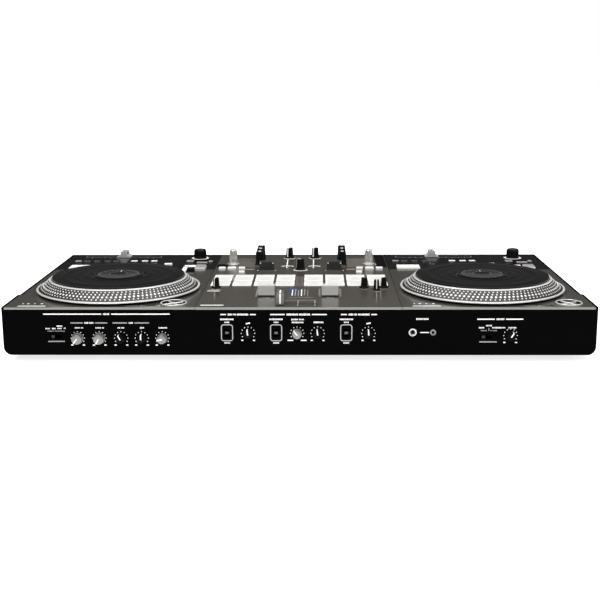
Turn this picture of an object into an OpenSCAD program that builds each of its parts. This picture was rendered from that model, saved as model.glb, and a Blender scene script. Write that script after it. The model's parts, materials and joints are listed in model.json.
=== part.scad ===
// Two-deck dj controller: a shallow case with two motor-driven jog platters,
// a two-channel mixer between them and a row of controls on the front face.
// X runs to the right, Y to the back and Z up. The origin is on the table,
// under the middle of the case.

/* [Case] */
// Width of the case across its front wings
body_w = 773; // [760:1:790]
// Depth of the case, front face to rear face
body_d = 396; // [392:1:400]
// Height of the top plates above the table
plate_top = 74; // [73:0.5:76]
// Height of the rubber feet
foot_h = 10; // [9:0.5:11]
// Wall thickness of the case shell
wall = 4; // [3.5:0.5:4.5]
// How much wider each side is at the front than at the rear
side_step = 3; // [2:0.5:4]
// Radius of the lower front-view corners
corner_r = 11; // [9:1:13]
// Thickness of the top plates
plate_t = 3.2; // [2.2:0.2:3.4]

/* [Decks] */
// Distance of each platter centre from the middle
deck_x = 254.3; // [253:0.1:255]
// Platter centre, front to back
deck_y = -79.3; // [-81.5:0.1:-79]
// Radius of the platter's flange
flange_r = 113.4; // [112:0.1:114]
// Radius of the platter's upper rim
rim_r = 94.7; // [94.5:0.1:96]
// Radius of the control record
record_r = 91.8; // [90:0.1:92.5]
// Height of the record's top above the plate
record_rise = 20.6; // [20.2:0.1:21.5]
// Radius of the jog display
display_r = 35.2; // [34:0.1:35.5]
// Travel of the tempo slider
tempo_travel = 100; // [80:1:104]

/* [Mixer] */
// Width of the mixer section
mixer_w = 268; // [266:1:269]
// Travel of the channel faders and the crossfader
fader_travel = 45; // [40:1:46]
// Spacing of the performance pads across the mixer
pad_pitch = 30.8; // [30.4:0.1:31]
// Size of a performance pad
pad_size = [27.4, 31.6];
// Height of the browse encoders above the plate
browse_h = 24; // [20:0.5:24.5]
// Height of the equaliser knobs above the plate
eq_h = 21.5; // [18:0.5:22]

/* [Front controls] */
// How far the front knobs stand out of the front face
knob_reach = 9; // [8.5:0.5:9]
// Height of the microphone knobs above the table
mic_z = 32.8; // [31:0.2:35]
// Height of the curve knobs above the table
curve_z = 39.2; // [38:0.2:41]

/* [Hidden] */
$fn = 48;
half_w = body_w / 2;
rear_half_w = half_w - side_step;
front_y = -body_d / 2;
rear_y = body_d / 2;
step_y = -118;
case_z = foot_h;
plate_under = plate_top - plate_t;
gap = 0.5;             // clearance round a cap in its window
knob_gap = 0.6;        // clearance between a knob and its plate
shaft_r = 3;           // control shafts
shaft_hole_r = 4;      // their holes
shaft_depth = 10;      // how far a shaft reaches below its knob
strip_y = 65;          // front edge of the rear control strips
plate_rear_y = rear_y - wall;
split = 0.6;           // seam between neighbouring top plates
lip = 3;               // upstand of the case beside the top plates
step_lap = 1;          // how far the rear stretch of the case reaches into the front one
plate_edge = lip + 0.2; // from the case side to a plate's edge
deck_in = mixer_w / 2; // inner edge of a deck

// deck controls, from the platter centre across and from the middle in depth
loop_pos = [87.4, 166];
loop_r = 10.1;
loop_h = 15;
tempo_pos = [-40, 178];
tempo_rest = [1.5, -3];
tempo_w = 22;            // tempo cap across, over its wings
tempo_d = 22;            // and front to back
tempo_h = 9.7;
tempo_lift = 0.8;        // clearance of the cap above its slot
slot_w = 3;             // width of the slider slots
slot_spare = 9;         // slot length beyond a slider's travel
stem_t = 1.6;           // thickness of the slider stems
stem_len = 9;           // their reach below the plate's top
tempo_slot = [tempo_travel + slot_spare, slot_w];
start_pos = [94.6, -177.3];
start_shift = 4.5;
start_r = 17.4;
start_lip = 1;          // how far its ring stands out over the plate
start_under = 1.3;      // underside of the ring above the plate
deck_row = [-105, -91, -75, -58, -44, -15, 2, 17];
deck_row_y = 132;
deck_key = [10, 8];
key_rise = 1.8;         // height of the row of deck keys above the plate
pad_rise = 1;
button_rise = 2.4;      // height of the mixer keys above the plate
mode_rise = 1;
toggle_rise = 6;
cap_sink = 6;           // how far every key reaches down from the plate's top
// the other deck keys: place, width, depth and height above the plate
deck_extra = [[-89, 80.8, 35, 24, 2.4], [43, 108, 12, 8, 1.8], [75, 131, 11.3, 15, 1.8],
    [108, 129, 6, 12, 1.8], [94.7, 123.5, 17.2, 6, 1.2], [97.3, 79.8, 15.6, 22.5, 3.4]];
toggle_pos = [85.4, 51];
toggle_size = [11.3, 10];

// jog platters
web = 4;                // thickness of a platter's top web
hub_bore = 10.6;
hub_r = 15;
rotor_z = 60;           // underside of the rotor disc on the hub
rotor_r = 30;
mat_bore = 12;
mat_t = 1.2;
record_bore = 37;       // radius of the opening in the control record
post_r = 10;            // post that carries the display through the hub
motor_r = 40;
plate_hole_r = 24;      // hole of the deck plate round the hub
flange_lift = 2.8;      // underside of the flange above the plate
web_rise = 17;          // top of the web above the plate
rim_lip = 1.2;          // rim above the web
display_t = 0.9;        // thickness of the display's disc
display_gap = 0.25;     // its clearance above the record

// mixer controls
mixer_mid = -1.4;       // middle line of the mixer controls
pad_first = 20.4;
pad_rows = [-46.8, -12];
mode_row = 11.7;
mode_size = [27.4, 12.5];
eq_x = 64.9;
eq_rows = [104, 132.5, 161];
top_knob_x = 20.8;
top_knob_y = 167;
centre_knob_y = 64;
browse_pos = [106.6, 109];
lever_pos = [51.9, 64];
lever_w = 22.6;
channel_x = 43.2;
channel_y = -129;
cross_y = -178;
small_knobs = [[-118.3, -72.5], [90.4, -72.5], [107, -87.5], [117.8, -71]];
mixer_keys = [[121.3, 72, 10.4, 9], [106.2, 72, 13, 9], [90.9, 72, 9.8, 9], [89, 41, 9, 7]];

// front controls: place across the face, height, knob radius
front_knobs = [[-288.4, mic_z, 7.4], [-260, mic_z, 7.4], [-231.5, mic_z, 6.2], [-204.6, mic_z, 6.2],
    [-177.6, mic_z, 6.7], [-65.6, curve_z, 6.2], [-1.8, curve_z, 6.4], [25, curve_z, 6.2],
    [91, curve_z, 6.2], [275, 36.4, 6.2]];
reverse_x = [-93, -29, 62.2];
reverse_z = 40;
reverse_slot = [6.5, 11];
select_pos = [[-317, 35], [243.5, 34.6]];
select_slot = [15, 5];
phones_big = [148.4, 40.4, 5.2];
phones_small = [174.8, 40.4, 4];

// rear sockets: place across the rear panel and height
rear_z = 42;
panel_w = 699.6;
panel_seams = [-281, -231, 0, 34, 68, 205, 285]; // between the panel's sections
xlr_x = [-300, -262];
rca_x = [-120, -102, -84];
rca_z = [33, 51];
trs_x = [-222, -196, 150, 176];
usb_x = [20, 48];
inlet_x = 250;
switch_x = 300;
socket_gap = 0.2;

// inside
board_z = 46;           // underside of the mixer board
board_t = 1.6;
pot = [12, 12, 16];     // potentiometer body, from the board up
front_board_y = -164;

// ---- shared shapes ----

// Quarter arc of radius r about c, from angle a, as polygon points
function arc(c, r, a, n = 8) = [for (i = [0:n]) c + r * [cos(a + 90 * i / n), sin(a + 90 * i / n)]];

// Front-view outline of the case: square above, rounded below
module case_outline(hw, z0, z1, r) {
    polygon(concat([[hw, z1], [-hw, z1]], arc([-hw + r, z0 + r], r, 180), arc([hw - r, z0 + r], r, 270)));
}

// Stretch of the case outline between two depths
module case_length(hw, y0, y1, z1) {
    translate([0, y1, 0])
        rotate([90, 0, 0])
            linear_extrude(y1 - y0) case_outline(hw, case_z, z1, corner_r);
}

// Block from its centre and base, with plain edges
module block(x, y, z, w, d, h) {
    translate([x - w / 2, y - d / 2, z]) cube([w, d, h]);
}

// Key with a chamfered top that stands through a plate; rise is its height above it
module key(x, y, w, d, rise, c = 0.8) {
    h = cap_sink + rise;
    translate([x, y + d / 2, plate_top - cap_sink])
        rotate([90, 0, 0])
            linear_extrude(d)
                polygon([[-w / 2, 0], [w / 2, 0], [w / 2, h - c], [w / 2 - c, h],
                    [-w / 2 + c, h], [-w / 2, h - c]]);
}

// Knob that turns about +Z, standing on the plane z = 0, with its shaft below
module knob(skirt_r, base_r, top_r, h, skirt_h = 1.8, pointer = 1) {
    rotate_extrude()
        polygon([[0, knob_gap], [skirt_r, knob_gap], [skirt_r, skirt_h], [base_r, skirt_h + 0.8],
            [top_r, h - 0.8], [top_r - 0.8, h - 0.3], [0, h - 0.3]]);
    translate([0, 0, knob_gap - shaft_depth]) cylinder(r = shaft_r, h = shaft_depth);
    if (pointer > 0)
        translate([-0.6, 0, h - 1]) cube([1.2, top_r - 0.4, 1]);
}

// A knob on the top plates
module top_knob(x, y, skirt_r, base_r, top_r, h, turn = 0) {
    translate([x, y, plate_top]) rotate([0, 0, turn]) knob(skirt_r, base_r, top_r, h);
}

// A knob on the front face; its axis runs front to back
module front_knob(i, tint, turn) {
    spec = front_knobs[i];
    color(tint)
        translate([spec[0], front_y, spec[1]])
            rotate([90, 0, 0])
                rotate([0, 0, turn])
                    knob(spec[2], spec[2] - 0.2, spec[2] - 0.4, knob_reach, 2.2);
}

// Both decks: places the children at the platter centres' X
module each_deck() {
    for (s = [-1, 1]) translate([s * deck_x, 0, 0]) children();
}

// ---- case ----

module case_shell() {
    color("#141416")
        difference() {
            union() {
                case_length(half_w, front_y, step_y, plate_under);
                case_length(rear_half_w, step_y - step_lap, rear_y, plate_under);
                side_lips();
            }
            shell_cavity();
            front_holes();
            block(0, rear_y - wall / 2, case_z + 10, panel_w + 0.4, wall + 2, 46);
            screw_holes(1.6);
        }
}

// Thin upstands beside the top plates
module side_lips() {
    for (s = [-1, 1]) {
        block(s * (half_w - lip / 2), (front_y + step_y) / 2, plate_under - 1, lip,
            step_y - front_y, plate_t + 1);
        block(s * (rear_half_w - lip / 2), (step_y - step_lap + rear_y) / 2, plate_under - 1, lip,
            rear_y - step_y + step_lap, plate_t + 1);
    }
    block(0, rear_y - lip / 2, plate_under - 1, 2 * rear_half_w, lip, plate_t + 1);
}

// Space inside the shell: a wide upper part, a narrower lower one, and a ledge for the tray
module shell_cavity() {
    inner_w = 2 * (rear_half_w - wall);
    depth = body_d - 2 * wall;
    block(0, 0, case_z + corner_r, inner_w, depth, 80);
    block(0, 0, case_z + 5, inner_w - 2 * corner_r - 12, depth - 16, 40);
    block(0, 0, case_z - 1, inner_w - 2 * corner_r + 8, depth - 4, 2.6);
}

// Openings of the front wall
module front_holes() {
    for (spec = front_knobs)
        translate([spec[0], front_y + wall + 1, spec[1]])
            rotate([90, 0, 0]) cylinder(r = shaft_hole_r, h = wall + 2);
    for (x = reverse_x)
        block(x, front_y, reverse_z - reverse_slot[1] / 2, reverse_slot[0], 20, reverse_slot[1]);
    for (p = select_pos)
        block(p[0], front_y, p[1] - select_slot[1] / 2, select_slot[0], 20, select_slot[1]);
    for (p = [phones_big, phones_small])
        translate([p[0], front_y + wall + 1, p[1]])
            rotate([90, 0, 0]) cylinder(r = p[2] + socket_gap, h = wall + 2);
}

// Places of the screws that hold the tray
function screw_rows() = [for (x = [-330, -165, 0, 165, 330], y = [-188, 188]) [x, y]];

module screw_holes(r) {
    for (p = screw_rows()) translate([p[0], p[1], case_z - 1]) cylinder(r = r, h = 8);
}

module bottom_tray() {
    inner_w = 2 * (rear_half_w - wall) - 2 * corner_r + 8;
    depth = body_d - 2 * wall - 4;
    color("#2b2c2e")
        difference() {
            block(0, 0, case_z, inner_w - 1, depth - 1, 1.5);
            screw_holes(1.8);
            tray_vents();
        }
}

// Rows of vent slots under the mixer
module tray_vents() {
    for (i = [-6:6], s = [-1, 1]) block(i * 14, s * 70, case_z - 1, 4, 60, 4);
}

module case_screws() {
    color("#303236")
        for (p = screw_rows())
            translate([p[0], p[1], case_z - 1.2]) {
                cylinder(r = 3, h = 1.1);
                cylinder(r = 1.45, h = 6.5);
            }
}

module rubber_feet() {
    color("#1b1b1c")
        for (x = [-325, 0, 325], y = [-138, 150])
            translate([x, y, 0])
                rotate_extrude()
                    polygon([[0, 0], [12, 0], [13, 1], [14.5, foot_h - 0.1], [0, foot_h - 0.1]]);
}

// ---- top plates ----

// Plan outline of a right-hand deck plate, seam to side lip
module deck_outline() {
    x0 = deck_in + split / 2;
    x1 = half_w - plate_edge;
    x2 = rear_half_w - plate_edge;
    y1 = step_y - step_lap - gap;
    y2 = strip_y - split / 2;
    polygon([[x0, front_y], [x1, front_y], [x1, y1], [x2, y1], [x2, y2], [x0, y2]]);
}

module deck_plates() {
    color("#55565a")
        difference() {
            for (s = [0, 1])
                mirror([s, 0, 0])
                    translate([0, 0, plate_under]) linear_extrude(plate_t) deck_outline();
            each_deck() translate([0, deck_y, plate_under - 1]) cylinder(r = plate_hole_r, h = plate_t + 2);
            for (s = [-1, 1])
                translate([start_x(s), start_pos[1], plate_under - 1])
                    cylinder(r = start_r - start_lip + gap, h = 10);
            each_deck() window(toggle_pos[0], toggle_pos[1], toggle_size[0], toggle_size[1]);
        }
}

function start_x(s) = s * deck_x + start_pos[0] + s * start_shift;

// Window of a cap that stands w by d
module window(x, y, w, d) {
    block(x, y, plate_under - 1, w + 2 * gap, d + 2 * gap, plate_t + 2);
}

module shaft_hole(x, y) {
    translate([x, y, plate_under - 1]) cylinder(r = shaft_hole_r, h = plate_t + 2);
}

module mixer_plate() {
    color("#4d4c4a")
        difference() {
            translate([-mixer_w / 2 + split / 2, front_y, plate_under])
                cube([mixer_w - split, plate_rear_y - front_y + 0.8, plate_t]);
            for (s = [-1, 1]) {
                for (i = [0:3]) {
                    x = mixer_mid + s * (pad_first + i * pad_pitch);
                    for (y = pad_rows) window(x, y, pad_size[0], pad_size[1]);
                    window(x, mode_row, mode_size[0], mode_size[1]);
                }
                for (k = mixer_keys) window(mixer_mid + s * k[0], k[1], k[2], k[3]);
                for (y = eq_rows) shaft_hole(mixer_mid + s * eq_x, y);
                shaft_hole(s * top_knob_x, top_knob_y);
                shaft_hole(mixer_mid + s * browse_pos[0], browse_pos[1]);
                block(mixer_mid + s * lever_pos[0], lever_pos[1], plate_under - 1,
                    lever_w + 1.6, 13, plate_t + 2);
                block(mixer_mid + s * channel_x, channel_y + fader_travel / 2, plate_under - 1, slot_w,
                    fader_travel + slot_spare, 10);
            }
            shaft_hole(mixer_mid, centre_knob_y);
            for (p = small_knobs) shaft_hole(p[0], p[1]);
            block(mixer_mid, cross_y, plate_under - 1, fader_travel + slot_spare, slot_w, 10);
        }
}

module control_strips() {
    x0 = deck_in + split / 2;
    x1 = rear_half_w - plate_edge;
    color("#0e0e10")
        difference() {
            for (s = [-1, 1])
                translate([s > 0 ? x0 : -x1, strip_y + split / 2, plate_under])
                    cube([x1 - x0, plate_rear_y + 0.8 - strip_y - split / 2, plate_t]);
            each_deck() {
                shaft_hole(loop_pos[0], loop_pos[1]);
                block(tempo_pos[0], tempo_pos[1], plate_under - 1, tempo_slot[0], tempo_slot[1], 10);
                for (x = deck_row) window(x, deck_row_y, deck_key[0], deck_key[1]);
                for (k = deck_extra) window(k[0], k[1], k[2], k[3]);
            }
        }
}

// ---- jog platters ----

// Platter casting: flange, sloping strobe wall, rim, top web and hollow hub,
// with its slip mat lying on the web
module platter(s) {
    flange_z = plate_top + flange_lift;
    top_z = plate_top + web_rise;
    color("#c9cbce")
        translate([s * deck_x, deck_y, 0]) {
            rotate_extrude($fn = 128)
                polygon([[flange_r - 1, flange_z], [flange_r, flange_z + 0.8],
                    [flange_r - 0.6, flange_z + 2.2], [flange_r - 5.5, flange_z + 2.8],
                    [rim_r + 0.9, top_z - 0.3], [rim_r, top_z + rim_lip], [rim_r - 1.6, top_z + rim_lip],
                    [rim_r - 2.2, top_z], [hub_bore, top_z], [hub_bore, rotor_z], [rotor_r, rotor_z],
                    [rotor_r, rotor_z + 3], [hub_r, rotor_z + 3], [hub_r, top_z - web],
                    [rim_r - 5, top_z - web], [flange_r - 12, flange_z]]);
            color("#1c1c1e")
                rotate_extrude($fn = 128)
                    polygon([[mat_bore, top_z + 0.02], [rim_r - 3, top_z + 0.02],
                        [rim_r - 3, top_z + mat_t], [mat_bore, top_z + mat_t]]);
        }
}

module platter_left() { platter(-1); }
module platter_right() { platter(1); }

// Control record: a ring of vinyl round the display
module record(s) {
    z1 = plate_top + record_rise;
    color("#0a0a0b")
        translate([s * deck_x, deck_y, 0])
            rotate_extrude($fn = 128)
                polygon([[record_bore, z1 - 2.1], [record_r - 0.5, z1 - 2.1], [record_r, z1 - 1.6],
                    [record_r, z1 - 0.5], [record_r - 0.5, z1], [record_bore, z1]]);
}

module record_left() { record(-1); }
module record_right() { record(1); }

// Fixed displays: a disc on a hollow post that stands through each platter
module jog_displays() {
    z1 = plate_top + record_rise + display_gap + display_t;
    color("#26282b")
        each_deck()
            translate([0, deck_y, 0])
                rotate_extrude($fn = 96)
                    polygon([[6, 28], [post_r, 28], [post_r, z1 - display_t], [display_r, z1 - display_t],
                        [display_r, z1 - 0.4], [display_r - 0.4, z1], [0, z1], [0, z1 - display_t],
                        [6, z1 - display_t]]);
}

// Motor stators round the posts, on a foot plate above the tray
module platter_motors() {
    color("#8d9196")
        each_deck()
            translate([0, deck_y, 0])
                rotate_extrude($fn = 64)
                    polygon([[post_r + 0.2, 16], [motor_r + 8, 16], [motor_r + 8, 18], [motor_r, 18],
                        [motor_r, 56], [motor_r - 2, 58], [post_r + 0.2, 58]]);
}

// ---- deck controls ----

// Stem of a slider, from below its plate into its cap
module stem(x, y, w, d) {
    block(x, y, plate_top - stem_len, w, d, stem_len + 1.5);
}

// Tempo slider cap, waisted and wide at its base, with its stem through the slot
module tempo_cap(s, rest) {
    w = tempo_w / 2;
    h = tempo_h;
    half = [[w, 0], [w, 1], [w * 0.78, 2.1], [w * 0.55, 3.8], [w * 0.46, 5.4], [w * 0.43, 7],
        [w * 0.46, h - 1], [w * 0.38, h]];
    x = s * deck_x + tempo_pos[0] + rest;
    color("#b9bbbd") {
        translate([x, tempo_pos[1] + tempo_d / 2, plate_top + tempo_lift])
            rotate([90, 0, 0])
                linear_extrude(tempo_d)
                    polygon(concat(half, [for (i = [len(half) - 1:-1:0]) [-half[i][0], half[i][1]]]));
        stem(x, tempo_pos[1], 6, stem_t);
    }
}

module tempo_cap_left() { tempo_cap(-1, tempo_rest[0]); }
module tempo_cap_right() { tempo_cap(1, tempo_rest[1]); }

// Large domed encoder
module loop_knob(s) {
    color("#131314")
        translate([s * deck_x + loop_pos[0], loop_pos[1], plate_top]) {
            rotate_extrude()
                polygon(concat([[0, knob_gap], [loop_r, knob_gap]],
                    [for (a = [0:15:75]) [loop_r * (0.72 + 0.28 * cos(a)), loop_h - 4 + 4 * sin(a)]],
                    [[loop_r * 0.6, loop_h], [loop_r * 0.35, loop_h - 0.5], [0, loop_h - 0.7]]));
            translate([0, 0, knob_gap - shaft_depth]) cylinder(r = shaft_r, h = shaft_depth);
        }
}

module loop_knob_left() { loop_knob(-1); }
module loop_knob_right() { loop_knob(1); }

// Round start button: raised ring, dished face and a four-armed cross
module start_button(s) {
    r = start_r;
    color("#b9bbbd")
        translate([start_x(s), start_pos[1], plate_top]) {
            rotate_extrude($fn = 64)
                polygon([[0, -5], [r - start_lip, -5], [r - start_lip, start_under], [r, start_under],
                    [r, 1.8], [r - 0.6, 2.4], [r - 2, 2.4], [r - 2.8, 1.2], [0, 1.2]]);
            for (a = [45, 135]) rotate([0, 0, a]) block(0, 0, 1, 2 * r - 9, 3, 1.6);
        }
}

module start_button_left() { start_button(-1); }
module start_button_right() { start_button(1); }

module deck_buttons() {
    color("#c4c4c2")
        each_deck() {
            for (x = deck_row) key(x, deck_row_y, deck_key[0], deck_key[1], key_rise);
            for (k = deck_extra) key(k[0], k[1], k[2], k[3], k[4]);
            key(toggle_pos[0], toggle_pos[1], toggle_size[0], toggle_size[1], toggle_rise, 1.6);
        }
}

// ---- mixer controls ----

module pads(s) {
    color("#f0f0ea")
        for (i = [0:3]) {
            x = mixer_mid + s * (pad_first + i * pad_pitch);
            for (y = pad_rows) key(x, y, pad_size[0], pad_size[1], pad_rise);
            key(x, mode_row, mode_size[0], mode_size[1], mode_rise);
        }
}

module pads_left() { pads(-1); }
module pads_right() { pads(1); }

module mixer_buttons() {
    color("#e8e8e4")
        for (s = [-1, 1], k = mixer_keys) key(mixer_mid + s * k[0], k[1], k[2], k[3], button_rise);
}

// Tall ribbed encoder on a wide washer
module browse_knob(s) {
    color("#c3c5c7")
        translate([mixer_mid + s * browse_pos[0], browse_pos[1], plate_top]) {
            rotate_extrude()
                polygon([[0, knob_gap], [9.8, knob_gap], [9.8, 1.8], [7, 2.4], [6.7, 3.2], [6.2, 13],
                    [5.4, browse_h - 2], [4.6, browse_h], [0, browse_h]]);
            translate([0, 0, knob_gap - shaft_depth]) cylinder(r = shaft_r, h = shaft_depth);
        }
}

module browse_knob_left() { browse_knob(-1); }
module browse_knob_right() { browse_knob(1); }

module eq_knob(s, row) {
    color("#1a1a1b") top_knob(mixer_mid + s * eq_x, eq_rows[row], 7.6, 6.7, 6, eq_h);
}

module eq_low_left() { eq_knob(-1, 0); }
module eq_mid_left() { eq_knob(-1, 1); }
module eq_high_left() { eq_knob(-1, 2); }
module eq_low_right() { eq_knob(1, 0); }
module eq_mid_right() { eq_knob(1, 1); }
module eq_high_right() { eq_knob(1, 2); }

module booth_knob() {
    color("#1a1a1b") top_knob(-top_knob_x, top_knob_y, 7.2, 6.1, 5.4, 17, 148);
}

module master_knob() {
    color("#1a1a1b") top_knob(top_knob_x, top_knob_y, 7.2, 6.1, 5.4, 17, 148);
}

module cue_mix_knob() {
    color("#1a1a1b") top_knob(mixer_mid, centre_knob_y, 7.4, 6.4, 5.7, 16.8, 70);
}

// Paddle that tips about a barrel in its slot
module fx_lever(s) {
    color("#1d1e20")
        translate([mixer_mid + s * lever_pos[0] - lever_w / 2, lever_pos[1], plate_top - 2])
            rotate([90, 0, 90]) {
                cylinder(r = 3.6, h = lever_w);
                linear_extrude(lever_w)
                    polygon([[-3, 0], [3, 0], [2.2, 9], [2.8, 14.6], [1.8, 16], [-1.4, 16], [-2.4, 14.6],
                        [-2.2, 9]]);
            }
}

module fx_lever_left() { fx_lever(-1); }
module fx_lever_right() { fx_lever(1); }

// Channel fader cap, with its stem through the slot
module channel_fader(s) {
    color("#7c7d7f") {
        translate([mixer_mid + s * channel_x - 11.2, channel_y, plate_top + 0.6])
            rotate([90, 0, 90])
                linear_extrude(22.4)
                    polygon([[-5.4, 0], [5.4, 0], [5.8, 9], [6, 14.6], [5.2, 15.6], [-5.2, 15.6],
                        [-6, 14.6], [-5.8, 9]]);
        stem(mixer_mid + s * channel_x, channel_y, stem_t, 5);
    }
}

module channel_fader_left() { channel_fader(-1); }
module channel_fader_right() { channel_fader(1); }

module crossfader() {
    x = mixer_mid - fader_travel / 2;
    color("#7c7d7f") {
        translate([x, cross_y + 10, plate_top + 0.8])
            rotate([90, 0, 0])
                linear_extrude(20)
                    polygon([[-5.4, 0], [5.4, 0], [5, 8], [5, 15.2], [4, 16.2], [-4, 16.2],
                        [-5, 15.2], [-5, 8]]);
        stem(x, cross_y, 5, stem_t);
    }
}

module small_knob(i, turn) {
    color("#1a1a1b") top_knob(small_knobs[i][0], small_knobs[i][1], 6.9, 4.8, 4.1, 14.6, turn);
}

module pad_level_knob() { small_knob(0, 150); }
module phones_mix_knob() { small_knob(1, 0); }
module phones_level_knob() {
    color("#1a1a1b") top_knob(small_knobs[2][0], small_knobs[2][1], 5.6, 4, 3.5, 14.6, 180);
}
module phones_tone_knob() { small_knob(3, 120); }

// ---- front controls ----

module mic1_knob() { front_knob(0, "#b5b6b8", 140); }
module mic2_knob() { front_knob(1, "#b5b6b8", 150); }
module mic_low_knob() { front_knob(2, "#1a1a1b", 30); }
module mic_high_knob() { front_knob(3, "#1a1a1b", 0); }
module echo_knob() { front_knob(4, "#b5b6b8", 98); }
module curve1_knob() { front_knob(5, "#1a1a1b", 8); }
module feel_knob() { front_knob(6, "#b5b6b8", 40); }
module cross_curve_knob() { front_knob(7, "#1a1a1b", 7); }
module curve2_knob() { front_knob(8, "#1a1a1b", 3); }
module aux_knob() { front_knob(9, "#1a1a1b", -31); }

// Slide switch buttons that run up and down
module reverse_switches() {
    color("#3a3b3d")
        for (x = reverse_x) block(x, front_y + 3.5, reverse_z - 1.75, 5.2, 8, 3.5);
}

// Slide switch buttons that run sideways
module select_switches() {
    color("#3a3b3d")
        for (p = select_pos) block(p[0] - 3.5, front_y + 3.5, p[1] - 1.9, 4.6, 8, 3.8);
}

// ---- inside ----

// Body of a potentiometer on the mixer board
module pot_body(x, y) {
    block(x, y, board_z, pot[0], pot[1], pot[2]);
}

module main_boards() {
    color("#1e5b3a") {
        difference() {
            union() {
                block(0, 0, board_z, 258, 350, board_t);
                for (s = [-1, 1]) {
                    for (y = eq_rows) pot_body(mixer_mid + s * eq_x, y);
                    pot_body(s * top_knob_x, top_knob_y);
                    pot_body(mixer_mid + s * browse_pos[0], browse_pos[1]);
                    block(mixer_mid + s * channel_x, channel_y + fader_travel / 2, board_z,
                        12, fader_travel + 16, 14);
                }
                pot_body(mixer_mid, centre_knob_y);
                block(mixer_mid, cross_y + 8, board_z, fader_travel + 16, 12, 14);
            }
            for (x = [-120, 120], y = [-165, 165]) translate([x, y, 40]) cylinder(r = 1.6, h = 12);
        }
        block(20, 90, 20, 180, 130, board_t);
        block(-60, 90, 20 + board_t + 0.4, 30, 30, 3);
        front_boards();
    }
}

// Upright boards behind the front controls
module front_boards() {
    for (span = [[-325, -165], [-105, 105], [140, 285]])
        block((span[0] + span[1]) / 2, front_board_y, 22, span[1] - span[0], board_t, 23);
}

module power_supply() {
    color("#a9adb0")
        difference() {
            block(255, 110, 16, 110, 90, 36);
            block(255, 110, 18, 106, 86, 32);
            for (i = [-5:5]) block(255 + i * 8, 110, 50, 3, 60, 4);
        }
}

// ---- rear ----

// Rear panel: a row of flat socket plates, edge to edge
module rear_panel() {
    ends = concat([-panel_w / 2], panel_seams, [panel_w / 2]);
    color("#1b1c1f")
        difference() {
            for (i = [1:len(ends) - 1])
                block((ends[i - 1] + ends[i]) / 2, rear_y - 2.5, case_z + 10.2,
                    ends[i] - ends[i - 1] - socket_gap, 2, 45.6);
            for (x = xlr_x) rear_hole(x, rear_z, 12 + socket_gap);
            for (x = rca_x, z = rca_z) rear_hole(x, z, 6 + socket_gap);
            for (x = trs_x) rear_hole(x, rear_z, 7.5 + socket_gap);
            for (x = usb_x) block(x, rear_y - 2, rear_z - 7, 14.4, 8, 14.4);
            block(inlet_x, rear_y - 2, rear_z - 12.2, 32.4, 8, 24.4);
            block(switch_x, rear_y - 2, rear_z - 11, 15, 8, 22);
        }
}

module rear_hole(x, z, r) {
    translate([x, rear_y + 2, z]) rotate([90, 0, 0]) cylinder(r = r, h = 8);
}

// Round socket on a horizontal axis: body of radius r with a bore, mouth at y
module round_socket(x, z, r, bore, mouth, depth) {
    difference() {
        translate([x, mouth, z]) rotate([90, 0, 0]) cylinder(r = r, h = depth);
        translate([x, mouth + 1, z]) rotate([90, 0, 0]) cylinder(r = bore, h = depth - 1);
    }
}

module io_sockets() {
    color("#9b9da0") {
        for (x = xlr_x) xlr_socket(x);
        for (x = rca_x, z = rca_z) round_socket(x, z, 4.15, 1.7, rear_y + knob_reach, 22);
        for (x = trs_x) round_socket(x, rear_z, 7.5, 3.25, rear_y - 0.5, 30);
        for (x = usb_x) usb_socket(x);
        mains_inlet();
        front_socket(phones_big, 3.25, 30);
        front_socket(phones_small, 1.8, 18);
    }
}

// Cup with three contact pins that end well inside its mouth
module xlr_socket(x) {
    round_socket(x, rear_z, 12, 9.4, rear_y - 0.5, 18);
    for (a = [90, 210, 330])
        translate([x + 3.6 * cos(a), rear_y - 9, rear_z + 3.6 * sin(a)])
            rotate([90, 0, 0]) cylinder(r = 1.1, h = 9);
}

module usb_socket(x) {
    difference() {
        block(x, rear_y - 8.5, rear_z - 6.8, 14, 17, 14);
        block(x, rear_y - 3.5, rear_z - 4, 8.4, 15, 8.4);
    }
}

module mains_inlet() {
    difference() {
        block(inlet_x, rear_y - 11, rear_z - 12, 32, 21, 24);
        block(inlet_x, rear_y - 8, rear_z - 8, 24, 20, 16);
    }
    for (i = [-1:1]) block(inlet_x + i * 7, rear_y - 15, rear_z - 2, 2, 8, 4);
}

// Phones socket on the front face
module front_socket(p, bore, depth) {
    translate([p[0], front_y - 0.4, p[1]])
        rotate([-90, 0, 0])
            difference() {
                cylinder(r = p[2], h = depth);
                translate([0, 0, -1]) cylinder(r = bore, h = depth - 1);
            }
}

// Rocker of the mains switch, tipped about a level axis
module power_switch() {
    color("#17181a")
        translate([switch_x - 6.5, rear_y - 6, rear_z])
            rotate([90, 0, 90]) {
                cylinder(r = 3, h = 13);
                linear_extrude(13) polygon([[0, -9], [5, -9], [4.2, 0], [6.4, 9], [0, 9]]);
            }
}

case_shell();
bottom_tray();
deck_plates();
mixer_plate();
control_strips();
rear_panel();
rubber_feet();
case_screws();
main_boards();
power_supply();
platter_motors();
jog_displays();
io_sockets();
platter_left();
platter_right();
record_left();
record_right();
tempo_cap_left();
tempo_cap_right();
loop_knob_left();
loop_knob_right();
start_button_left();
start_button_right();
deck_buttons();
pads_left();
pads_right();
mixer_buttons();
browse_knob_left();
browse_knob_right();
eq_low_left();
eq_mid_left();
eq_high_left();
eq_low_right();
eq_mid_right();
eq_high_right();
booth_knob();
master_knob();
cue_mix_knob();
fx_lever_left();
fx_lever_right();
channel_fader_left();
channel_fader_right();
crossfader();
pad_level_knob();
phones_mix_knob();
phones_level_knob();
phones_tone_knob();
mic1_knob();
mic2_knob();
mic_low_knob();
mic_high_knob();
echo_knob();
curve1_knob();
feel_knob();
cross_curve_knob();
curve2_knob();
aux_knob();
reverse_switches();
select_switches();
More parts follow.
